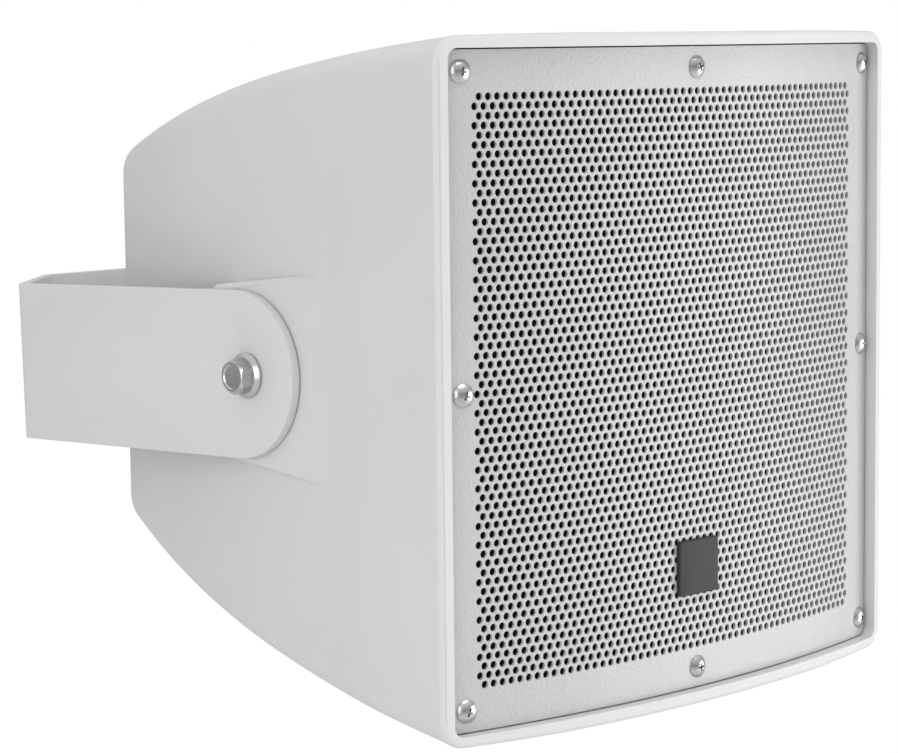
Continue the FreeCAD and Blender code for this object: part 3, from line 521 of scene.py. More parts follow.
def finish(name, colour, roughness, metallic=0.0):
    """A new material with its main shader and the object's coordinates."""
    material = bpy.data.materials.new(name)
    material.use_nodes = True
    tree = material.node_tree
    shader = tree.nodes["Principled BSDF"]
    shader.inputs["Base Color"].default_value = (*colour, 1.0)
    shader.inputs["Roughness"].default_value = roughness
    shader.inputs["Metallic"].default_value = metallic
    where = tree.nodes.new("ShaderNodeTexCoord").outputs["Object"]
    return material, tree, shader, where


def placed_effect(tree, group, where, **values):
    node = tree.nodes.new("ShaderNodeGroup")
    node.node_tree = group
    tree.links.new(where, node.inputs["Vector"])
    for label, value in values.items():
        node.inputs[label].default_value = value
    return node


def tinted(tree, shader, mask, low, high):
    """Colours the surface between two tones by a mask."""
    mix = tree.nodes.new("ShaderNodeMix")
    mix.data_type = "RGBA"
    mix.inputs["A"].default_value = (*low, 1.0)
    mix.inputs["B"].default_value = (*high, 1.0)
    tree.links.new(mask, mix.inputs["Factor"])
    tree.links.new(mix.outputs["Result"], shader.inputs["Base Color"])
    return mix


def bumped(tree, shader, height, strength, distance):
    bump = tree.nodes.new("ShaderNodeBump")
    bump.inputs["Strength"].default_value = strength
    bump.inputs["Distance"].default_value = distance
    tree.links.new(height, bump.inputs["Height"])
    tree.links.new(bump.outputs["Normal"], shader.inputs["Normal"])


def coated(name, low, high, roughness, bumps, strength, distance, wear):
    """Painted, moulded or plated surface: grain, slight tone changes and signs of handling."""
    material, tree, shader, where = finish(name, low, roughness)
    grain = placed_effect(tree, coat_grain, where, Bumps=bumps)
    marks = placed_effect(tree, handling, where, Amount=wear)
    tinted(tree, shader, grain.outputs["Tone"], low, high)
    bumped(tree, shader, grain.outputs["Height"], strength, distance)
    film = math_node(tree, "MULTIPLY", marks.outputs["Film"], coat_film)
    scuff = math_node(tree, "MULTIPLY", marks.outputs["Scuffs"], -coat_polish)
    total = math_node(tree, "ADD", math_node(tree, "ADD", film, scuff), roughness)
    tree.links.new(total, shader.inputs["Roughness"])
    return material


def metal(name, low, high, roughness, wear):
    """Plated or turned metal with a fine grain and dull patches."""
    material, tree, shader, where = finish(name, low, roughness, 1.0)
    grain = placed_effect(tree, coat_grain, where, Bumps=1500.0)
    marks = placed_effect(tree, handling, where, Amount=wear)
    tinted(tree, shader, marks.outputs["Film"], low, high)
    bumped(tree, shader, grain.outputs["Height"], 0.12, 0.0001)
    film = math_node(tree, "MULTIPLY", marks.outputs["Film"], metal_film)
    tree.links.new(math_node(tree, "ADD", film, roughness), shader.inputs["Roughness"])
    return material


def open_foam(name):
    """Black reticulated foam: small cells with thin bright walls."""
    material, tree, shader, where = finish(name, (0.004, 0.004, 0.004), 0.95)
    shader.inputs["Specular IOR Level"].default_value = 0.1
    cells = tree.nodes.new("ShaderNodeTexVoronoi")
    cells.inputs["Scale"].default_value = 900.0
    tree.links.new(where, cells.inputs["Vector"])
    tinted(tree, shader, ramp(tree, cells.outputs["Distance"], 0.2, 0.8),
           (0.001, 0.001, 0.001), (0.008, 0.008, 0.008))
    bumped(tree, shader, cells.outputs["Distance"], 0.8, 0.0006)
    return material


def cloth(name, low, high, threads):
    """Woven or pressed fibre."""
    material, tree, shader, where = finish(name, low, 0.9)
    weave = tree.nodes.new("ShaderNodeTexBrick")
    weave.inputs["Scale"].default_value = threads
    weave.inputs["Mortar Size"].default_value = 0.04
    tree.links.new(where, weave.inputs["Vector"])
    fibres = noise(tree, where, threads * 2.0, 4.0, 0.6)
    tinted(tree, shader, ramp(tree, fibres, 0.3, 0.7), low, high)
    bumped(tree, shader, math_node(tree, "ADD", weave.outputs["Fac"], fibres), 0.5, 0.0003)
    return material


def wound(name, low, high, turns):
    """Enamelled wire or tape, wound in even turns."""
    material, tree, shader, where = finish(name, low, 0.35)
    bands = tree.nodes.new("ShaderNodeTexWave")
    bands.bands_direction = "Y"
    bands.inputs["Scale"].default_value = turns
    tree.links.new(where, bands.inputs["Vector"])
    tinted(tree, shader, bands.outputs["Fac"], low, high)
    bumped(tree, shader, bands.outputs["Fac"], 0.6, 0.0004)
    return material


pale = (0.60, 0.605, 0.61)
paler = (0.63, 0.635, 0.64)
finishes = {
    "bracket_paint": coated("bracket powder coat", pale, paler, 0.42, 1100.0, 0.20, 0.0002, 0.5),
    "cabinet": coated("moulded cabinet", pale, paler, 0.48, 1600.0, 0.18, 0.00015, 0.45),
    "grille_paint": coated("grille powder coat", (0.45, 0.454, 0.46), (0.48, 0.485, 0.49), 0.32,
                           620.0, 0.60, 0.0004, 0.4),
    "badge": coated("badge plate", (0.022, 0.022, 0.024), (0.030, 0.031, 0.033), 0.50, 1400.0,
                    0.10, 0.0001, 0.6),
    "black_plastic": coated("black moulding", (0.014, 0.014, 0.015), (0.022, 0.022, 0.023), 0.45,
                            1200.0, 0.25, 0.0002, 0.6),
    "black_steel": coated("stove enamel", (0.012, 0.012, 0.012), (0.02, 0.02, 0.02), 0.35,
                          900.0, 0.25, 0.0002, 0.5),
    "rubber": coated("black rubber", (0.012, 0.012, 0.012), (0.024, 0.024, 0.024), 0.75, 1500.0,
                     0.30, 0.0002, 0.8),
    "nylon": coated("black nylon", (0.02, 0.02, 0.02), (0.03, 0.03, 0.03), 0.5, 1500.0, 0.15,
                    0.0001, 0.5),
    "panel_plate": coated("rear plate", pale, paler, 0.44, 1500.0, 0.18, 0.00015, 0.5),
    "board": coated("green board", (0.03, 0.14, 0.05), (0.05, 0.19, 0.08), 0.35, 700.0, 0.1,
                    0.0001, 0.4),
    "former_film": coated("amber film", (0.42, 0.22, 0.06), (0.5, 0.28, 0.09), 0.3, 900.0, 0.1,
                          0.0001, 0.3),
    "capacitor_film": coated("dipped film", (0.38, 0.05, 0.02), (0.5, 0.08, 0.03), 0.18, 500.0,
                             0.2, 0.0003, 0.3),
    "ferrite": coated("sintered ferrite", (0.035, 0.036, 0.04), (0.06, 0.06, 0.065), 0.6, 1000.0,
                      0.4, 0.0003, 0.6),
    "lamination": coated("varnished sheets", (0.10, 0.09, 0.08), (0.16, 0.15, 0.14), 0.4, 900.0,
                         0.3, 0.0002, 0.6),
    "bright_steel": metal("zinc on steel", (0.55, 0.55, 0.55), (0.42, 0.415, 0.40), 0.18, 0.7),
    "zinc_steel": metal("dull zinc", (0.55, 0.55, 0.54), (0.42, 0.42, 0.42), 0.35, 0.8),
    "brass": metal("turned brass", (0.72, 0.50, 0.22), (0.55, 0.38, 0.17), 0.28, 0.6),
    "black_foam": open_foam("open foam"),
    "cone_paper": cloth("pressed pulp", (0.016, 0.016, 0.016), (0.035, 0.034, 0.033), 900.0),
    "spider_cloth": cloth("treated cloth", (0.30, 0.17, 0.06), (0.42, 0.26, 0.11), 1200.0),
    "copper": wound("enamelled wire", (0.45, 0.16, 0.06), (0.72, 0.30, 0.13), 400.0),
    "winding_tape": wound("winding tape", (0.50, 0.38, 0.06), (0.66, 0.52, 0.12), 60.0),
}


# The bare badge plate is matt
badge_shader = finishes["badge"].node_tree.nodes["Principled BSDF"]
badge_shader.inputs["Specular IOR Level"].default_value = 0.25


# Cabinet shell

def cut_across(bm, places, normal):
    """Cuts a mesh at several places along one axis, and keeps all of it."""
    for place in places:
        bmesh.ops.bisect_plane(
            bm, geom=bm.verts[:] + bm.edges[:] + bm.faces[:], dist=WELD,
            plane_co=Vector(normal) * place, plane_no=normal)


def rounding_stations(first, last, steps):
    """Depths between two places, closer and closer together towards the second."""
    return [first + (last - first) * math.sin(math.pi / 2 * i / steps) for i in range(1, steps)]


def outer_form():
    """A square block with round long edges, bent to the cabinet's flanks and curved front."""
    bm = bmesh.new()
    side = front_half
    block(bm, (-side, 0, -side), (side, cabinet_depth, side))
    long_edges = [e for e in bm.edges if abs(e.verts[0].co.y - e.verts[1].co.y) > WELD]
    round_off(bm, long_edges, edge_round, 8)
    cut_across(bm, [rear_touch * i / cabinet_cuts for i in range(1, cabinet_cuts + 1)], (0, 1, 0))
    cut_across(bm, rounding_stations(rear_touch, cabinet_depth, rear_cuts), (0, 1, 0))
    cut_across(bm, [side * (i / width_cuts - 1) for i in range(1, 2 * width_cuts)], (1, 0, 0))
    for v in bm.verts:
        fade = max(0.0, 1 - v.co.y / curve_fade)
        x = v.co.x
        for _ in range(3):
            y = v.co.y + front_curve(x) * fade
            x = squeezed(v.co.x, y)
        v.co = (x + front_shift * fade, y, squeezed(v.co.z, y) + back_rise * y)
    return bm


def hollow_form():
    """The inside of the cabinet behind the ledge, a wall's thickness in from the outside."""
    bm = bmesh.new()
    rear = cabinet_depth - wall
    block(bm, (-front_half, ledge_back, -front_half), (front_half, rear, front_half))
    cut_across(bm, [ledge_back + (rear_centre - ledge_back) * i / hollow_cuts
                    for i in range(1, hollow_cuts + 1)], (0, 1, 0))
    cut_across(bm, rounding_stations(rear_centre, rear, hollow_rear_cuts), (0, 1, 0))
    for v in bm.verts:
        half = flank(v.co.y, wall)
        v.co.x = math.copysign(half, v.co.x)
        v.co.z = math.copysign(half, v.co.z) + back_rise * v.co.y
    return bm


def pads():
    """The two flat pads that carry the pivot, tapering to the rear."""
    bm = bmesh.new()
    inside = flank(cabinet_depth / 2) - 4 * wall
    for side in (-1, 1):
        near, far = sorted((side * inside, side * pad_face))
        made = block(bm, (near, pad_front, pivot.z - pad_front_half),
                     (far, pad_rear, pivot.z + pad_front_half))
        for v in made:
            if v.co.y > pad_rear - WELD:
                v.co.z = pivot.z + math.copysign(pad_rear_half, v.co.z - pivot.z)
        upright = [e for e in bm.edges if all(
            abs(v.co.y - pad_rear) < WELD and v in made for v in e.verts)
            and abs(e.verts[0].co.x - e.verts[1].co.x) > WELD]
        round_off(bm, upright, pad_corner, 6)
    rim = [e for e in bm.edges if all(
        abs(abs(v.co.x) - pad_face) < WELD for v in e.verts)
        and max(v.co.y for v in e.verts) > pad_front + WELD]
    round_off(bm, rim, pad_soft, 4)
    return bm


def cabinet_shell():
    """One hollow moulding: tapered flanks, curved rim, side pads, ledge and rear seat."""
    outer = outer_form()
    front = [e for e in outer.edges if sum(
        1 for f in e.link_faces if f.normal.y < -0.9) == 1 and e.verts[0].co.y < front_zone]
    round_off(outer, front, rim_round, 5)
    shell = combined(mesh_of(outer), mesh_of(pads()), "UNION")
    opening = Vector((opening_x, 0, opening_z))
    aside = Vector((front_shift, 0, 0))
    inner = opening - Vector((ledge_width, 0, ledge_width))
    rear = cabinet_depth - wall
    seat = cabinet_depth - pocket_depth
    gap = Vector((pocket_gap, 0, pocket_gap))
    bores = bmesh.new()
    for side in (-1, 1):
        rod(bores, insert_radius, (side * (pad_face + MM), pivot.y, pivot.z),
            (side * (pad_face - insert_length), pivot.y, pivot.z))
    frame_block = bmesh.new()
    around = panel_half + pocket_frame
    block(frame_block, (-around.x, seat - pocket_frame.y, panel_centre.z - around.z),
          (around.x, rear + MM, panel_centre.z + around.z))
    steps = [
        (rounded_plate(opening, opening_corner, -front_clear, opening_depth, aside), "DIFFERENCE"),
        (rounded_plate(opening, recess_corner, opening_depth - MM, recess_depth), "DIFFERENCE"),
        (rounded_plate(inner, opening_corner, recess_depth - MM, ledge_back + MM), "DIFFERENCE"),
        (hollow_form(), "DIFFERENCE"),
        (bores, "DIFFERENCE"),
        (frame_block, "UNION"),
        (rounded_plate(panel_half + gap, panel_corner, seat, cabinet_depth + MM, panel_centre),
         "DIFFERENCE"),
        (rounded_plate(service_half, panel_corner, seat - service_depth, cabinet_depth + MM,
                       panel_centre), "DIFFERENCE"),
    ]
    for tool, how in steps:
        shell = combined(shell, mesh_of(tool), how)
    return shell


soft_edges(piece("cabinet_shell_moulding", cabinet_shell(), "cabinet", "cabinet",
                 ["cabinet_shell"]), rim_lip, 3)


# Front grille

def of_kind(geometry, kind):
    return [g for g in geometry if isinstance(g, kind)]


def thicken(bm, faces, rim):
    """Adds the sheet's back behind its faces and a wall along its open edges."""
    back = bmesh.ops.duplicate(bm, geom=faces)["geom"]
    bmesh.ops.translate(
        bm, vec=(0, sheet_thickness, 0), verts=of_kind(back, bmesh.types.BMVert))
    bmesh.ops.reverse_faces(bm, faces=of_kind(back, bmesh.types.BMFace))
    walls = bmesh.ops.extrude_edge_only(bm, edges=rim)["geom"]
    bmesh.ops.translate(
        bm, vec=(0, sheet_thickness, 0), verts=of_kind(walls, bmesh.types.BMVert))
    bmesh.ops.remove_doubles(bm, verts=bm.verts, dist=WELD)


def hole_cell():
    """One hole with the metal round it, front, wall and back."""
    bm = bmesh.new()
    half_x, half_z = hole_pitch / 2, row_pitch / 2
    corners = [(-half_x, -half_z), (0, -half_z), (half_x, -half_z),
               (half_x, half_z), (0, half_z), (-half_x, half_z)]
    ring = [bm.verts.new((x, 0, z)) for x, z in corners]
    edges = [bm.edges.new((a, b)) for a, b in zip(ring, ring[1:] + ring[:1])]
    circle = bmesh.ops.create_circle(
        bm, segments=hole_sides, radius=hole_radius,
        matrix=ACROSS)["verts"]
    round_edges = list({e for v in circle for e in v.link_edges})
    bmesh.ops.triangle_fill(bm, edges=edges + round_edges, use_beauty=True, normal=(0, -1, 0))
    thicken(bm, bm.faces[:], round_edges)
    return mesh_of(bm)


def grille_sheet():
    """Perforated sheet: staggered rows of round holes, a plain border, eight screw holes."""
    cell = hole_cell()
    bm = bmesh.new()
    strips = {}
    for count in (short_row, short_row + 1):
        shifts = [(i - (count - 1) / 2) * hole_pitch for i in range(count)]
        strips[count] = many(cell, [Matrix.Translation((x, 0, 0)) for x in shifts])
    for row in range(rows):
        begin = len(bm.verts)
        bm.from_mesh(strips[short_row + row % 2])
        bm.verts.ensure_lookup_table()
        z = (row - (rows - 1) / 2) * row_pitch
        bmesh.ops.translate(bm, vec=(0, 0, z), verts=bm.verts[begin:])
    bmesh.ops.remove_doubles(bm, verts=bm.verts, dist=WELD)
    inner = [e for e in bm.edges if e.is_boundary and all(v.co.y < WELD for v in e.verts)]
    field_faces = set(bm.faces)
    outline = border_edges(bm)
    bmesh.ops.triangle_fill(bm, edges=inner + outline, use_beauty=True, normal=(0, -1, 0))
    border = [f for f in bm.faces if f not in field_faces]
    thicken(bm, border, outline)
    bmesh.ops.recalc_face_normals(bm, faces=bm.faces)
    for v in bm.verts:
        angle = v.co.x / front_radius
        radius = front_radius - v.co.y
        v.co.x = radius * math.sin(angle)
        v.co.y = front_radius - radius * math.cos(angle)
    return mesh_of(bm)


def border_edges(bm):
    """Edges of the sheet's outline and of its screw holes, in the flat."""
    before = set(bm.edges)
    corners = []
    for x, z in ((-1, -1), (1, -1), (1, 1), (-1, 1)):
        corners.append(bm.verts.new((front_shift + x * sheet_half_arc, 0, z * sheet_half_z)))
    for a, b in zip(corners, corners[1:] + corners[:1]):
        bm.edges.new((a, b))
    round_off(bm, corners, sheet_corner, 5, "VERTICES")
    straight = [e for e in bm.edges if e not in before and e.calc_length() > 0.1]
    bmesh.ops.subdivide_edges(bm, edges=straight, cuts=60)
    for arc, z in grille_screws:
        place = Matrix.Translation((arc, 0, z)) @ ACROSS
        bmesh.ops.create_circle(bm, segments=20, radius=screw_hole, matrix=place)
    return [e for e in bm.edges if e not in before]


grille_screws = [(a, z) for a in screw_arcs for z in (-screw_z, screw_z)]
grille_screws += [(screw_arcs[0], 0), (screw_arcs[2], 0)]
piece("grille_sheet", grille_sheet(), "cabinet", "grille_paint", ["front_grille"])
piece("badge_blank", mesh_of(rounded_plate(badge_half, badge_corner, -badge_proud, 0.2 * MM,
                                           badge_centre, 0.6 * MM)),
      "cabinet", "badge", ["badge_plate"])


# Screws and bolts

def hexagon_bar(across, near, far):
    """A six-sided bar along the depth axis, by its width across flats."""
    bm = bmesh.new()
    corner = across / math.cos(math.radians(30)) / 2
    bmesh.ops.create_cone(
        bm, cap_ends=True, segments=6, radius1=corner, radius2=corner, depth=far - near,
        matrix=Matrix.Translation((0, (near + far) / 2, 0)) @ ACROSS)
    return mesh_of(bm)


def cross_screw(radius, head, shank, length):
    """Low domed head with a cross recess, seat at the origin, shank along the depth axis."""
    rise = head - screw_edge
    bow = (radius ** 2 + rise ** 2) / (2 * rise)
    lean = math.degrees(math.asin(radius / bow))
    dome = arc_points((0, bow - head), bow, lean - 90, -90, 10)
    solid = mesh_of(turned([(0, length), (shank, length), (shank, 0), (radius, 0)] + dome, 48))
    cutter = bmesh.new()
    arm, thick = 0.42 * radius, 0.11 * radius
    block(cutter, (-arm, -head - MM, -thick), (arm, -head * 0.3, thick))
    block_two = bmesh.new()
    block(block_two, (-thick, -head - MM, -arm), (thick, -head * 0.3, arm))
    for bm in (cutter, block_two):
        for v in bm.verts:
            if v.co.y > -head:
                v.co.x *= 0.7
                v.co.z *= 0.7
    cross = combined(mesh_of(cutter), mesh_of(block_two), "UNION")
    return combined(solid, cross, "DIFFERENCE")


front_screw = cross_screw(screw_head_radius, screw_head, screw_hole, screw_length)
piece("grille_screw_set",
      many(front_screw, [on_front(a, z) @ Matrix.Rotation(0.4 + 1.3 * i, 4, "Y")
                         for i, (a, z) in enumerate(grille_screws)]),
      "cabinet", "bright_steel", ["grille_screws"])


def flange_bolt():
    """Hexagon head with a round chamfer and a shallow dish, on a domed flange."""
    across = bolt_flat / math.cos(math.radians(30)) / 2
    top = -(bolt_flange + bolt_head)
    hexagon = hexagon_bar(bolt_flat, top, -bolt_flange / 2)
    crown = turned([
        (0, 0), (1.3 * across, 0), (1.3 * across, top + 2.6 * MM), (across, top + 1.2 * MM),
        (0.495 * bolt_flat, top + 0.2 * MM), (0.47 * bolt_flat, top), (0.41 * bolt_flat, top),
        (0.37 * bolt_flat, top + 0.6 * MM), (0, top + 0.8 * MM)], 64)
    head = combined(hexagon, mesh_of(crown), "INTERSECT")
    skirt = turned([
        (0, bolt_length), (bolt_shank, bolt_length), (bolt_shank, 0), (bolt_flange_radius, 0),
        (bolt_flange_radius, -0.7 * bolt_flange), (bolt_flange_radius - 0.5 * MM, -bolt_flange),
        (across + 0.3 * MM, -1.6 * bolt_flange), (0, -1.6 * bolt_flange)], 64)
    return combined(head, mesh_of(skirt), "UNION")


bolt = flange_bolt()
soft_edges(piece("pivot_bolt_pair", many(bolt, [
    Matrix.Translation((side * bolt_seat, pivot.y, pivot.z)) @ facing((-side, 0, 0))
    for side in (-1, 1)]), "cabinet", "bright_steel", ["pivot_bolts"], sharp=30), 0.25 * MM, 2, 28)


# Flexing parts of the woofer, held by the frame outside and by the cone inside

def half_roll():
    """Rubber half roll with shallow ribs, its inner foot deeper than its outer one."""
    outer, inner = [], []
    for i in range(roll_steps + 1):
        angle = math.pi * i / roll_steps
        base = roll_foot + (roll_lip - roll_foot) * (1 - math.cos(angle)) / 2
        rib = roll_rib * (math.cos(roll_ribs * angle) - 1)
        for line, offset in ((outer, rib), (inner, rib - roll_skin)):
            line.append((roll_middle + (roll_half + offset) * math.cos(angle),
                         base - (roll_rise + offset) * math.sin(angle)))
    lip = [(roll_lip_inside, roll_lip), (roll_lip_inside, roll_lip + roll_skin),
           (roll_middle - roll_half + roll_skin, roll_lip + roll_skin)]
    foot = [(roll_foot_outside, roll_foot), (roll_foot_outside, roll_foot - roll_skin),
            (roll_middle + roll_half, roll_foot - roll_skin)]
    points = outer[2:] + lip + inner[::-1] + foot
    return mesh_of(turned(points + points[:1], soft_turns))


def corrugated_disc():
    """Treated cloth disc with round waves, its middle a little further forward."""
    line = []
    for i in range(disc_steps + 1):
        share = i / disc_steps
        wave = disc_wave * math.sin(2 * math.pi * disc_waves * share)
        line.append((disc_inner + (disc_outer - disc_inner) * share,
                     disc_front + (disc_back - disc_front) * share + wave))
    back = [(r, y + disc_skin) for r, y in reversed(line)]
    return mesh_of(turned(line + back + line[:1], soft_turns))


half_roll_piece = piece("woofer_half_roll", half_roll(), None, "rubber", ["woofer_surround"])
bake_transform(half_roll_piece)
seat_inside = roll_middle + roll_half
seat_ring = [(seat_inside, roll_foot), (roll_foot_outside, roll_foot),
             (roll_foot_outside, flange_front), (seat_inside, flange_front)]
piece("half_roll_seat", mesh_of(turned(seat_ring + seat_ring[:1], soft_turns)), "cabinet",
      "rubber")
disc_piece = piece("woofer_corrugated_disc", corrugated_disc(), None, "spider_cloth",
                   ["woofer_spider"])
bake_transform(disc_piece)


# Rear panel, cable gland and selector

def rear_plate():
    """Rear panel with holes for the gland, the spindle and its screws."""
    plate = mesh_of(rounded_plate(panel_half, panel_corner, cabinet_depth - panel_thickness,
                                  cabinet_depth, panel_centre))
    holes = bmesh.new()
    low, high = cabinet_depth - 2 * panel_thickness, cabinet_depth + panel_thickness
    places = [(fitting_x, fitting_z, gland_thread + 0.05 * MM), (-fitting_x, fitting_z, 4.6 * MM)]
    places += [(x, z, small_shank + 0.1 * MM) for x, z in panel_screws]
    for x, z, radius in places:
        rod(holes, radius, (x, low, z), (x, high, z), 40)
    return combined(plate, mesh_of(holes), "DIFFERENCE")


def gland_body():
    """Hexagon with turned corners, thread and neck, bored for the cable."""
    crown = turned([(0, 0), (0.56 * gland_flat, 0), (0.56 * gland_flat, gland_hex - 1.2 * MM),
                    (0.49 * gland_flat, gland_hex), (0, gland_hex)], 64)
    head = combined(hexagon_bar(gland_flat, 0, gland_hex), mesh_of(crown), "INTERSECT")
    neck = gland_thread - MM
    far = gland_hex + gland_cap / 2
    near = -panel_thickness - 8 * MM
    stem = turned([(0, near), (gland_thread, near), (gland_thread, 0.5 * MM), (neck, MM),
                   (neck, far), (0, far)], 40)
    bore = turned([(0, near - MM), (gland_core, near - MM), (gland_core, far + MM), (0, far + MM)],
                  40)
    return combined(combined(head, mesh_of(stem), "UNION"), mesh_of(bore), "DIFFERENCE")


def gland_cap_nut():
    """Domed cap nut with six worn flats."""
    near, far = gland_hex + 0.2 * MM, gland_hex + gland_cap
    outer = gland_flat / 2
    wall_radius = gland_thread - 0.9 * MM
    dome = [(outer - 0.5 * MM, near), (outer, near + 0.5 * MM)]
    dome += arc_points((outer - 5 * MM, far - 5 * MM), 5 * MM, 0, 62, 6)
    shape = turned([(wall_radius, near)] + dome + [
        (gland_mouth + 0.6 * MM, far), (gland_mouth, far - 0.6 * MM), (gland_mouth, far - 2 * MM),
        (wall_radius, far - 2 * MM), (wall_radius, near)], 72)
    bmesh.ops.recalc_face_normals(shape, faces=shape.faces)
    return combined(mesh_of(shape), hexagon_bar(1.93 * outer, near - MM, far + MM), "INTERSECT")


def selector_knob():
    """Tapered knob with grip flutes, a pointer ridge and its spindle."""
    far = knob_near + knob_height
    top = 0.85 * knob_radius
    tip = knob_near - spindle_length
    body = turned([(0, tip), (spindle_radius, tip), (spindle_radius, knob_near),
                   (knob_radius - 0.6 * MM, knob_near), (knob_radius, knob_near + 0.6 * MM),
                   (top + 0.25 * MM, far - 1.2 * MM), (top - 0.9 * MM, far), (0, far)], 72)
    flutes = bmesh.new()
    for i in range(knob_flutes):
        angle = 2 * math.pi * i / knob_flutes
        across = knob_radius + 0.75 * MM
        x, z = across * math.cos(angle), across * math.sin(angle)
        narrow = (across - 1.6 * MM) / across
        rod(flutes, 1.3 * MM, (x, knob_near + 2 * MM, z), (x * narrow, far + MM, z * narrow), 12)
    fluted = combined(mesh_of(body), mesh_of(flutes), "DIFFERENCE")
    ridge = rounded_plate(Vector((1.5 * MM, 0, 8.8 * MM)), 1.2 * MM, far - MM, far + 2 * MM)
    return combined(fluted, mesh_of(ridge), "UNION")


def at_rear(x, z):
    """Place on the rear panel's outer face."""
    return Matrix.Translation((x, cabinet_depth, z))


panel_screws = [(x, panel_centre.z + z) for x in (-panel_screw.x, panel_screw.x)
                for z in (-panel_screw.z, panel_screw.z)]
soft_edges(piece("rear_service_plate", rear_plate(), "cabinet", "panel_plate", ["rear_panel"]),
           0.5 * MM, 2)
rear_screw = cross_screw(small_head_radius, small_head, small_shank, small_screw_length)
piece("rear_panel_screw_set",
      many(rear_screw, [at_rear(x, z) @ Matrix.Rotation(math.pi, 4, "Z")
                        @ Matrix.Rotation(0.5 + 1.7 * i, 4, "Y")
                        for i, (x, z) in enumerate(panel_screws)]),
      "cabinet", "bright_steel", ["rear_panel_screws"])
gland = at_rear(fitting_x, fitting_z)
soft_edges(piece("gland_hexagon_body", gland_body(), "cabinet", "black_plastic", ["gland_body"],
                 CABINET @ gland), 0.2 * MM, 1)
soft_edges(piece("gland_domed_nut", gland_cap_nut(), "cabinet", "black_plastic",
                 ["gland_cap_nut"], CABINET @ gland), 0.2 * MM, 1)
soft_edges(piece("selector_grip", selector_knob(), "selector", "black_plastic",
                 ["selector_knob"], CABINET @ at_rear(-fitting_x, fitting_z)), 0.25 * MM, 2)


# Wall bracket

def bracket_stations():
    """Length along the strip's middle line to each bend, and the bend's own length."""
    skew = bend_middle * math.tan(math.radians(22.5))
    half = strip_thickness / 2
    mid_skew = half * math.tan(math.radians(22.5))
    web = arm_inner - corner_leg + mid_skew - skew
    bend = bend_middle * math.pi / 4
    leg = (corner_leg + half - mid_skew) * math.sqrt(2) - 2 * skew
    arm_start = -(strip_thickness + corner_leg - mid_skew) - skew
    return web, bend, leg, arm_start


def folded(s, depth, z):
    """Where a point of the flat strip goes in the folded one, by its depth off the middle line."""
    web, bend, leg, _ = bracket_stations()
    side = -1 if s < 0 else 1
    s = abs(s)
    middle = -strip_thickness / 2
    if s <= web:
        return Vector((side * s, middle + depth, z))
    point = Vector((web, middle, 0))
    heading = 0.0
    left = s - web
    for length, turning in ((bend, True), (leg, False), (bend, True), (1.0, False)):
        step = min(left, length)
        if turning:
            turn = step / bend_middle
            across = Vector((-math.sin(heading), -math.cos(heading), 0))
            centre = point + across * bend_middle
            heading += turn
            across = Vector((-math.sin(heading), -math.cos(heading), 0))
            point = centre - across * bend_middle
        else:
            point = point + Vector((math.cos(heading), -math.sin(heading), 0)) * step
        left -= step
        if left <= 0:
            break
    outward = Vector((math.sin(heading), math.cos(heading), 0))
    point = point + outward * depth
    return Vector((side * point.x, point.y, z))


def wall_bracket():
    """Cut flat with its holes, given soft edges, and then folded."""
    web, bend, leg, arm_start = bracket_stations()
    pivot_s = web + 2 * bend + leg + (arm_start + reach)
    end_s = pivot_s - arm_setback + strip_half
    bm = bmesh.new()
    corners = []
    for x, z in ((-1, -1), (1, -1), (1, 1), (-1, 1)):
        corners.append(bm.verts.new((x * end_s, 0, z * strip_half)))
    for a, b in zip(corners, corners[1:] + corners[:1]):
        bm.edges.new((a, b))
    round_off(bm, corners, strip_half * 0.9999, 20, "VERTICES")
    holes = [(-pivot_s, 0, bolt_hole), (pivot_s, 0, bolt_hole), (0, 0, wall_hole)]
    holes += [(x, z, wall_bolt_hole) for x in (-wall_bolt_x, wall_bolt_x)
              for z in (-wall_bolt_z, wall_bolt_z)]
    for s, z, radius in holes:
        place = Matrix.Translation((s, 0, z)) @ ACROSS
        bmesh.ops.create_circle(bm, segments=40, radius=radius, matrix=place)
    bmesh.ops.triangle_fill(bm, edges=bm.edges[:], use_beauty=True, normal=(0, -1, 0))
    for first in (web, web + bend + leg):
        for side in (-1, 1):
            for i in range(bend_steps + 1):
                s = side * (first + bend * i / bend_steps)
                bmesh.ops.bisect_plane(
                    bm, geom=bm.verts[:] + bm.edges[:] + bm.faces[:], dist=WELD,
                    plane_co=(s, 0, 0), plane_no=(1, 0, 0))
    bmesh.ops.translate(bm, vec=(0, -strip_thickness / 2, 0), verts=bm.verts)
    thick = bmesh.ops.extrude_face_region(bm, geom=bm.faces[:])["geom"]
    bmesh.ops.translate(
        bm, vec=(0, strip_thickness, 0), verts=of_kind(thick, bmesh.types.BMVert))
    bmesh.ops.recalc_face_normals(bm, faces=bm.faces)
    cut_edges = [e for e in bm.edges if len(e.link_faces) == 2
                 and e.calc_face_angle(0) > math.radians(60)]
    round_off(bm, cut_edges, strip_soft, 2)
    for v in bm.verts:
        v.co = folded(v.co.x, v.co.y, v.co.z)
    bmesh.ops.recalc_face_normals(bm, faces=bm.faces)
    return mesh_of(bm)


piece("folded_bracket", wall_bracket(), "bracket", "bracket_paint", ["wall_bracket"],
      place=Matrix.Identity(4), sharp=50)


# Finishes of the pieces that keep the solids' own shape

for entry in frame["record"]["subparts"]:
    node = frame["nodes"][entry["node"]]
    node.data.materials.clear()
    node.data.materials.append(finishes[entry["material_slot"]])


# Camera, light and floor

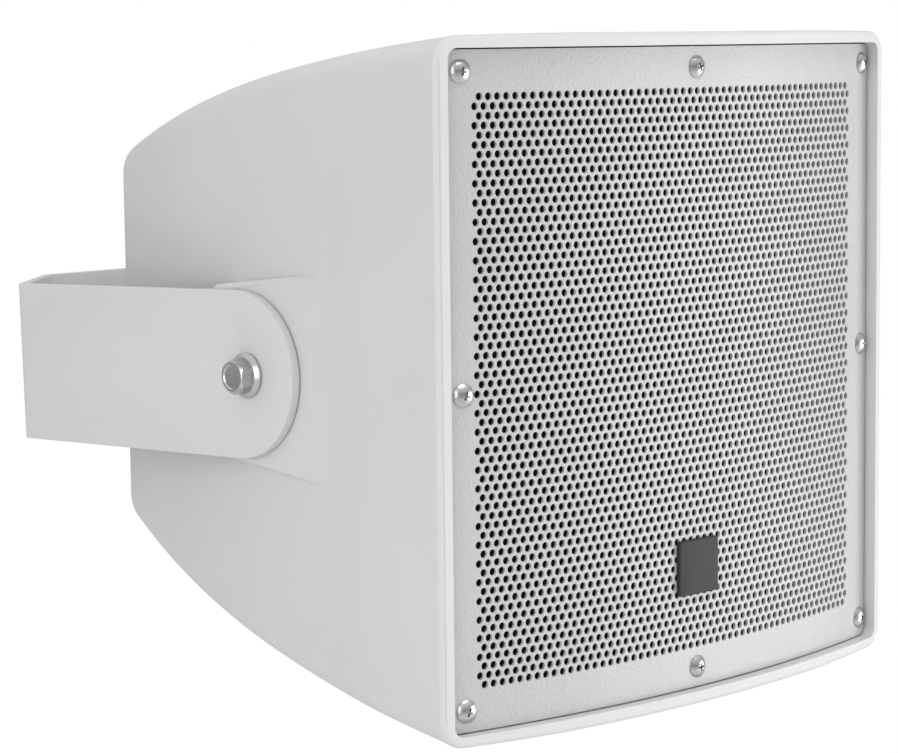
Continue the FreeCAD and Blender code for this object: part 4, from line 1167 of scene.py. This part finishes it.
def studio():
    """The camera that was fitted to the photo's holes."""
    lens = bpy.data.cameras.new("camera")
    lens.lens = camera_lens
    lens.sensor_width = sensor_width
    lens.clip_end = view_reach
    camera = bpy.data.objects.new("camera", lens)
    camera.matrix_world = (
        CABINET @ Matrix.Translation(camera_place) @ camera_turn.to_matrix().to_4x4())
    bpy.context.scene.collection.objects.link(camera)
    bpy.context.scene.camera = camera


def softbox(name, place, aim, size, power):
    """A soft rectangular light that looks at a point."""
    light = bpy.data.lights.new(name, "AREA")
    light.shape = "RECTANGLE"
    light.size, light.size_y = size
    light.energy = power
    made = bpy.data.objects.new(name, light)
    made.location = place
    direction = Vector(aim) - Vector(place)
    made.rotation_euler = direction.to_track_quat("-Z", "Y").to_euler()
    bpy.context.scene.collection.objects.link(made)


def seen_by_eye(tree):
    """1 for camera and glass rays, 0 for the light that falls on the object."""
    path = tree.nodes.new("ShaderNodeLightPath")
    return math_node(
        tree, "MAXIMUM", path.outputs["Is Camera Ray"], path.outputs["Is Transmission Ray"])


def white_world(strength, low, high):
    """White behind the object, even light on it, and a darker horizon in its reflections."""
    world = bpy.data.worlds.new("studio")
    bpy.context.scene.world = world
    world.use_nodes = True
    tree = world.node_tree
    background = tree.nodes["Background"]
    background.inputs["Color"].default_value = (1.0, 1.0, 1.0, 1.0)
    where = tree.nodes.new("ShaderNodeTexCoord").outputs["Generated"]
    split = tree.nodes.new("ShaderNodeSeparateXYZ")
    tree.links.new(where, split.inputs["Vector"])
    sky = ramp(tree, split.outputs["Z"], 0.0, 0.8, low, high)
    path = tree.nodes.new("ShaderNodeLightPath")
    mirrored = math_node(tree, "MULTIPLY", path.outputs["Is Glossy Ray"],
                         math_node(tree, "SUBTRACT", sky, strength))
    even = math_node(tree, "ADD", mirrored, strength)
    eye = seen_by_eye(tree)
    lit = math_node(tree, "MULTIPLY", even, math_node(tree, "SUBTRACT", 1.0, eye))
    tree.links.new(math_node(tree, "ADD", lit, eye), background.inputs["Strength"])


def pale_floor(height):
    """A wide pale floor that takes the object's shadow and is white to the eye."""
    bm = bmesh.new()
    bmesh.ops.create_grid(bm, x_segments=1, y_segments=1, size=8.0)
    bmesh.ops.translate(bm, vec=(0, 0, height), verts=bm.verts)
    floor = bpy.data.objects.new("floor", mesh_of(bm, "floor"))
    bpy.context.scene.collection.objects.link(floor)
    material, tree, shader, _ = finish("pale floor", (0.85, 0.85, 0.85), 0.9)
    glow = tree.nodes.new("ShaderNodeEmission")
    glow.inputs["Strength"].default_value = floor_glow
    mix = tree.nodes.new("ShaderNodeMixShader")
    share = math_node(tree, "MULTIPLY", seen_by_eye(tree), floor_white)
    tree.links.new(share, mix.inputs["Fac"])
    tree.links.new(shader.outputs["BSDF"], mix.inputs[1])
    tree.links.new(glow.outputs["Emission"], mix.inputs[2])
    tree.links.new(mix.outputs["Shader"], tree.nodes["Material Output"].inputs["Surface"])
    floor.data.materials.append(material)


middle = Vector((0.0, -0.23, 0.0))
floor_drop = 0.95
floor_glow = 1.04       # brightness that the eye sees in the floor
floor_white = 0.93      # and its share, the rest is the floor's own light and shadow
studio()
softbox("front window", place=(1.9, -1.9, -0.35), aim=middle, size=(1.7, 1.5), power=31.0)
softbox("left window", place=(-2.3, -1.25, 0.35), aim=middle, size=(1.8, 1.8), power=23.0)
softbox("ceiling window", place=(0.1, -1.3, 2.1), aim=middle, size=(1.6, 1.2), power=18.0)
white_world(strength=0.66, low=0.35, high=1.0)
pale_floor(cad_box[0][2] - floor_drop)
bpy.context.scene.view_settings.view_transform = "Standard"
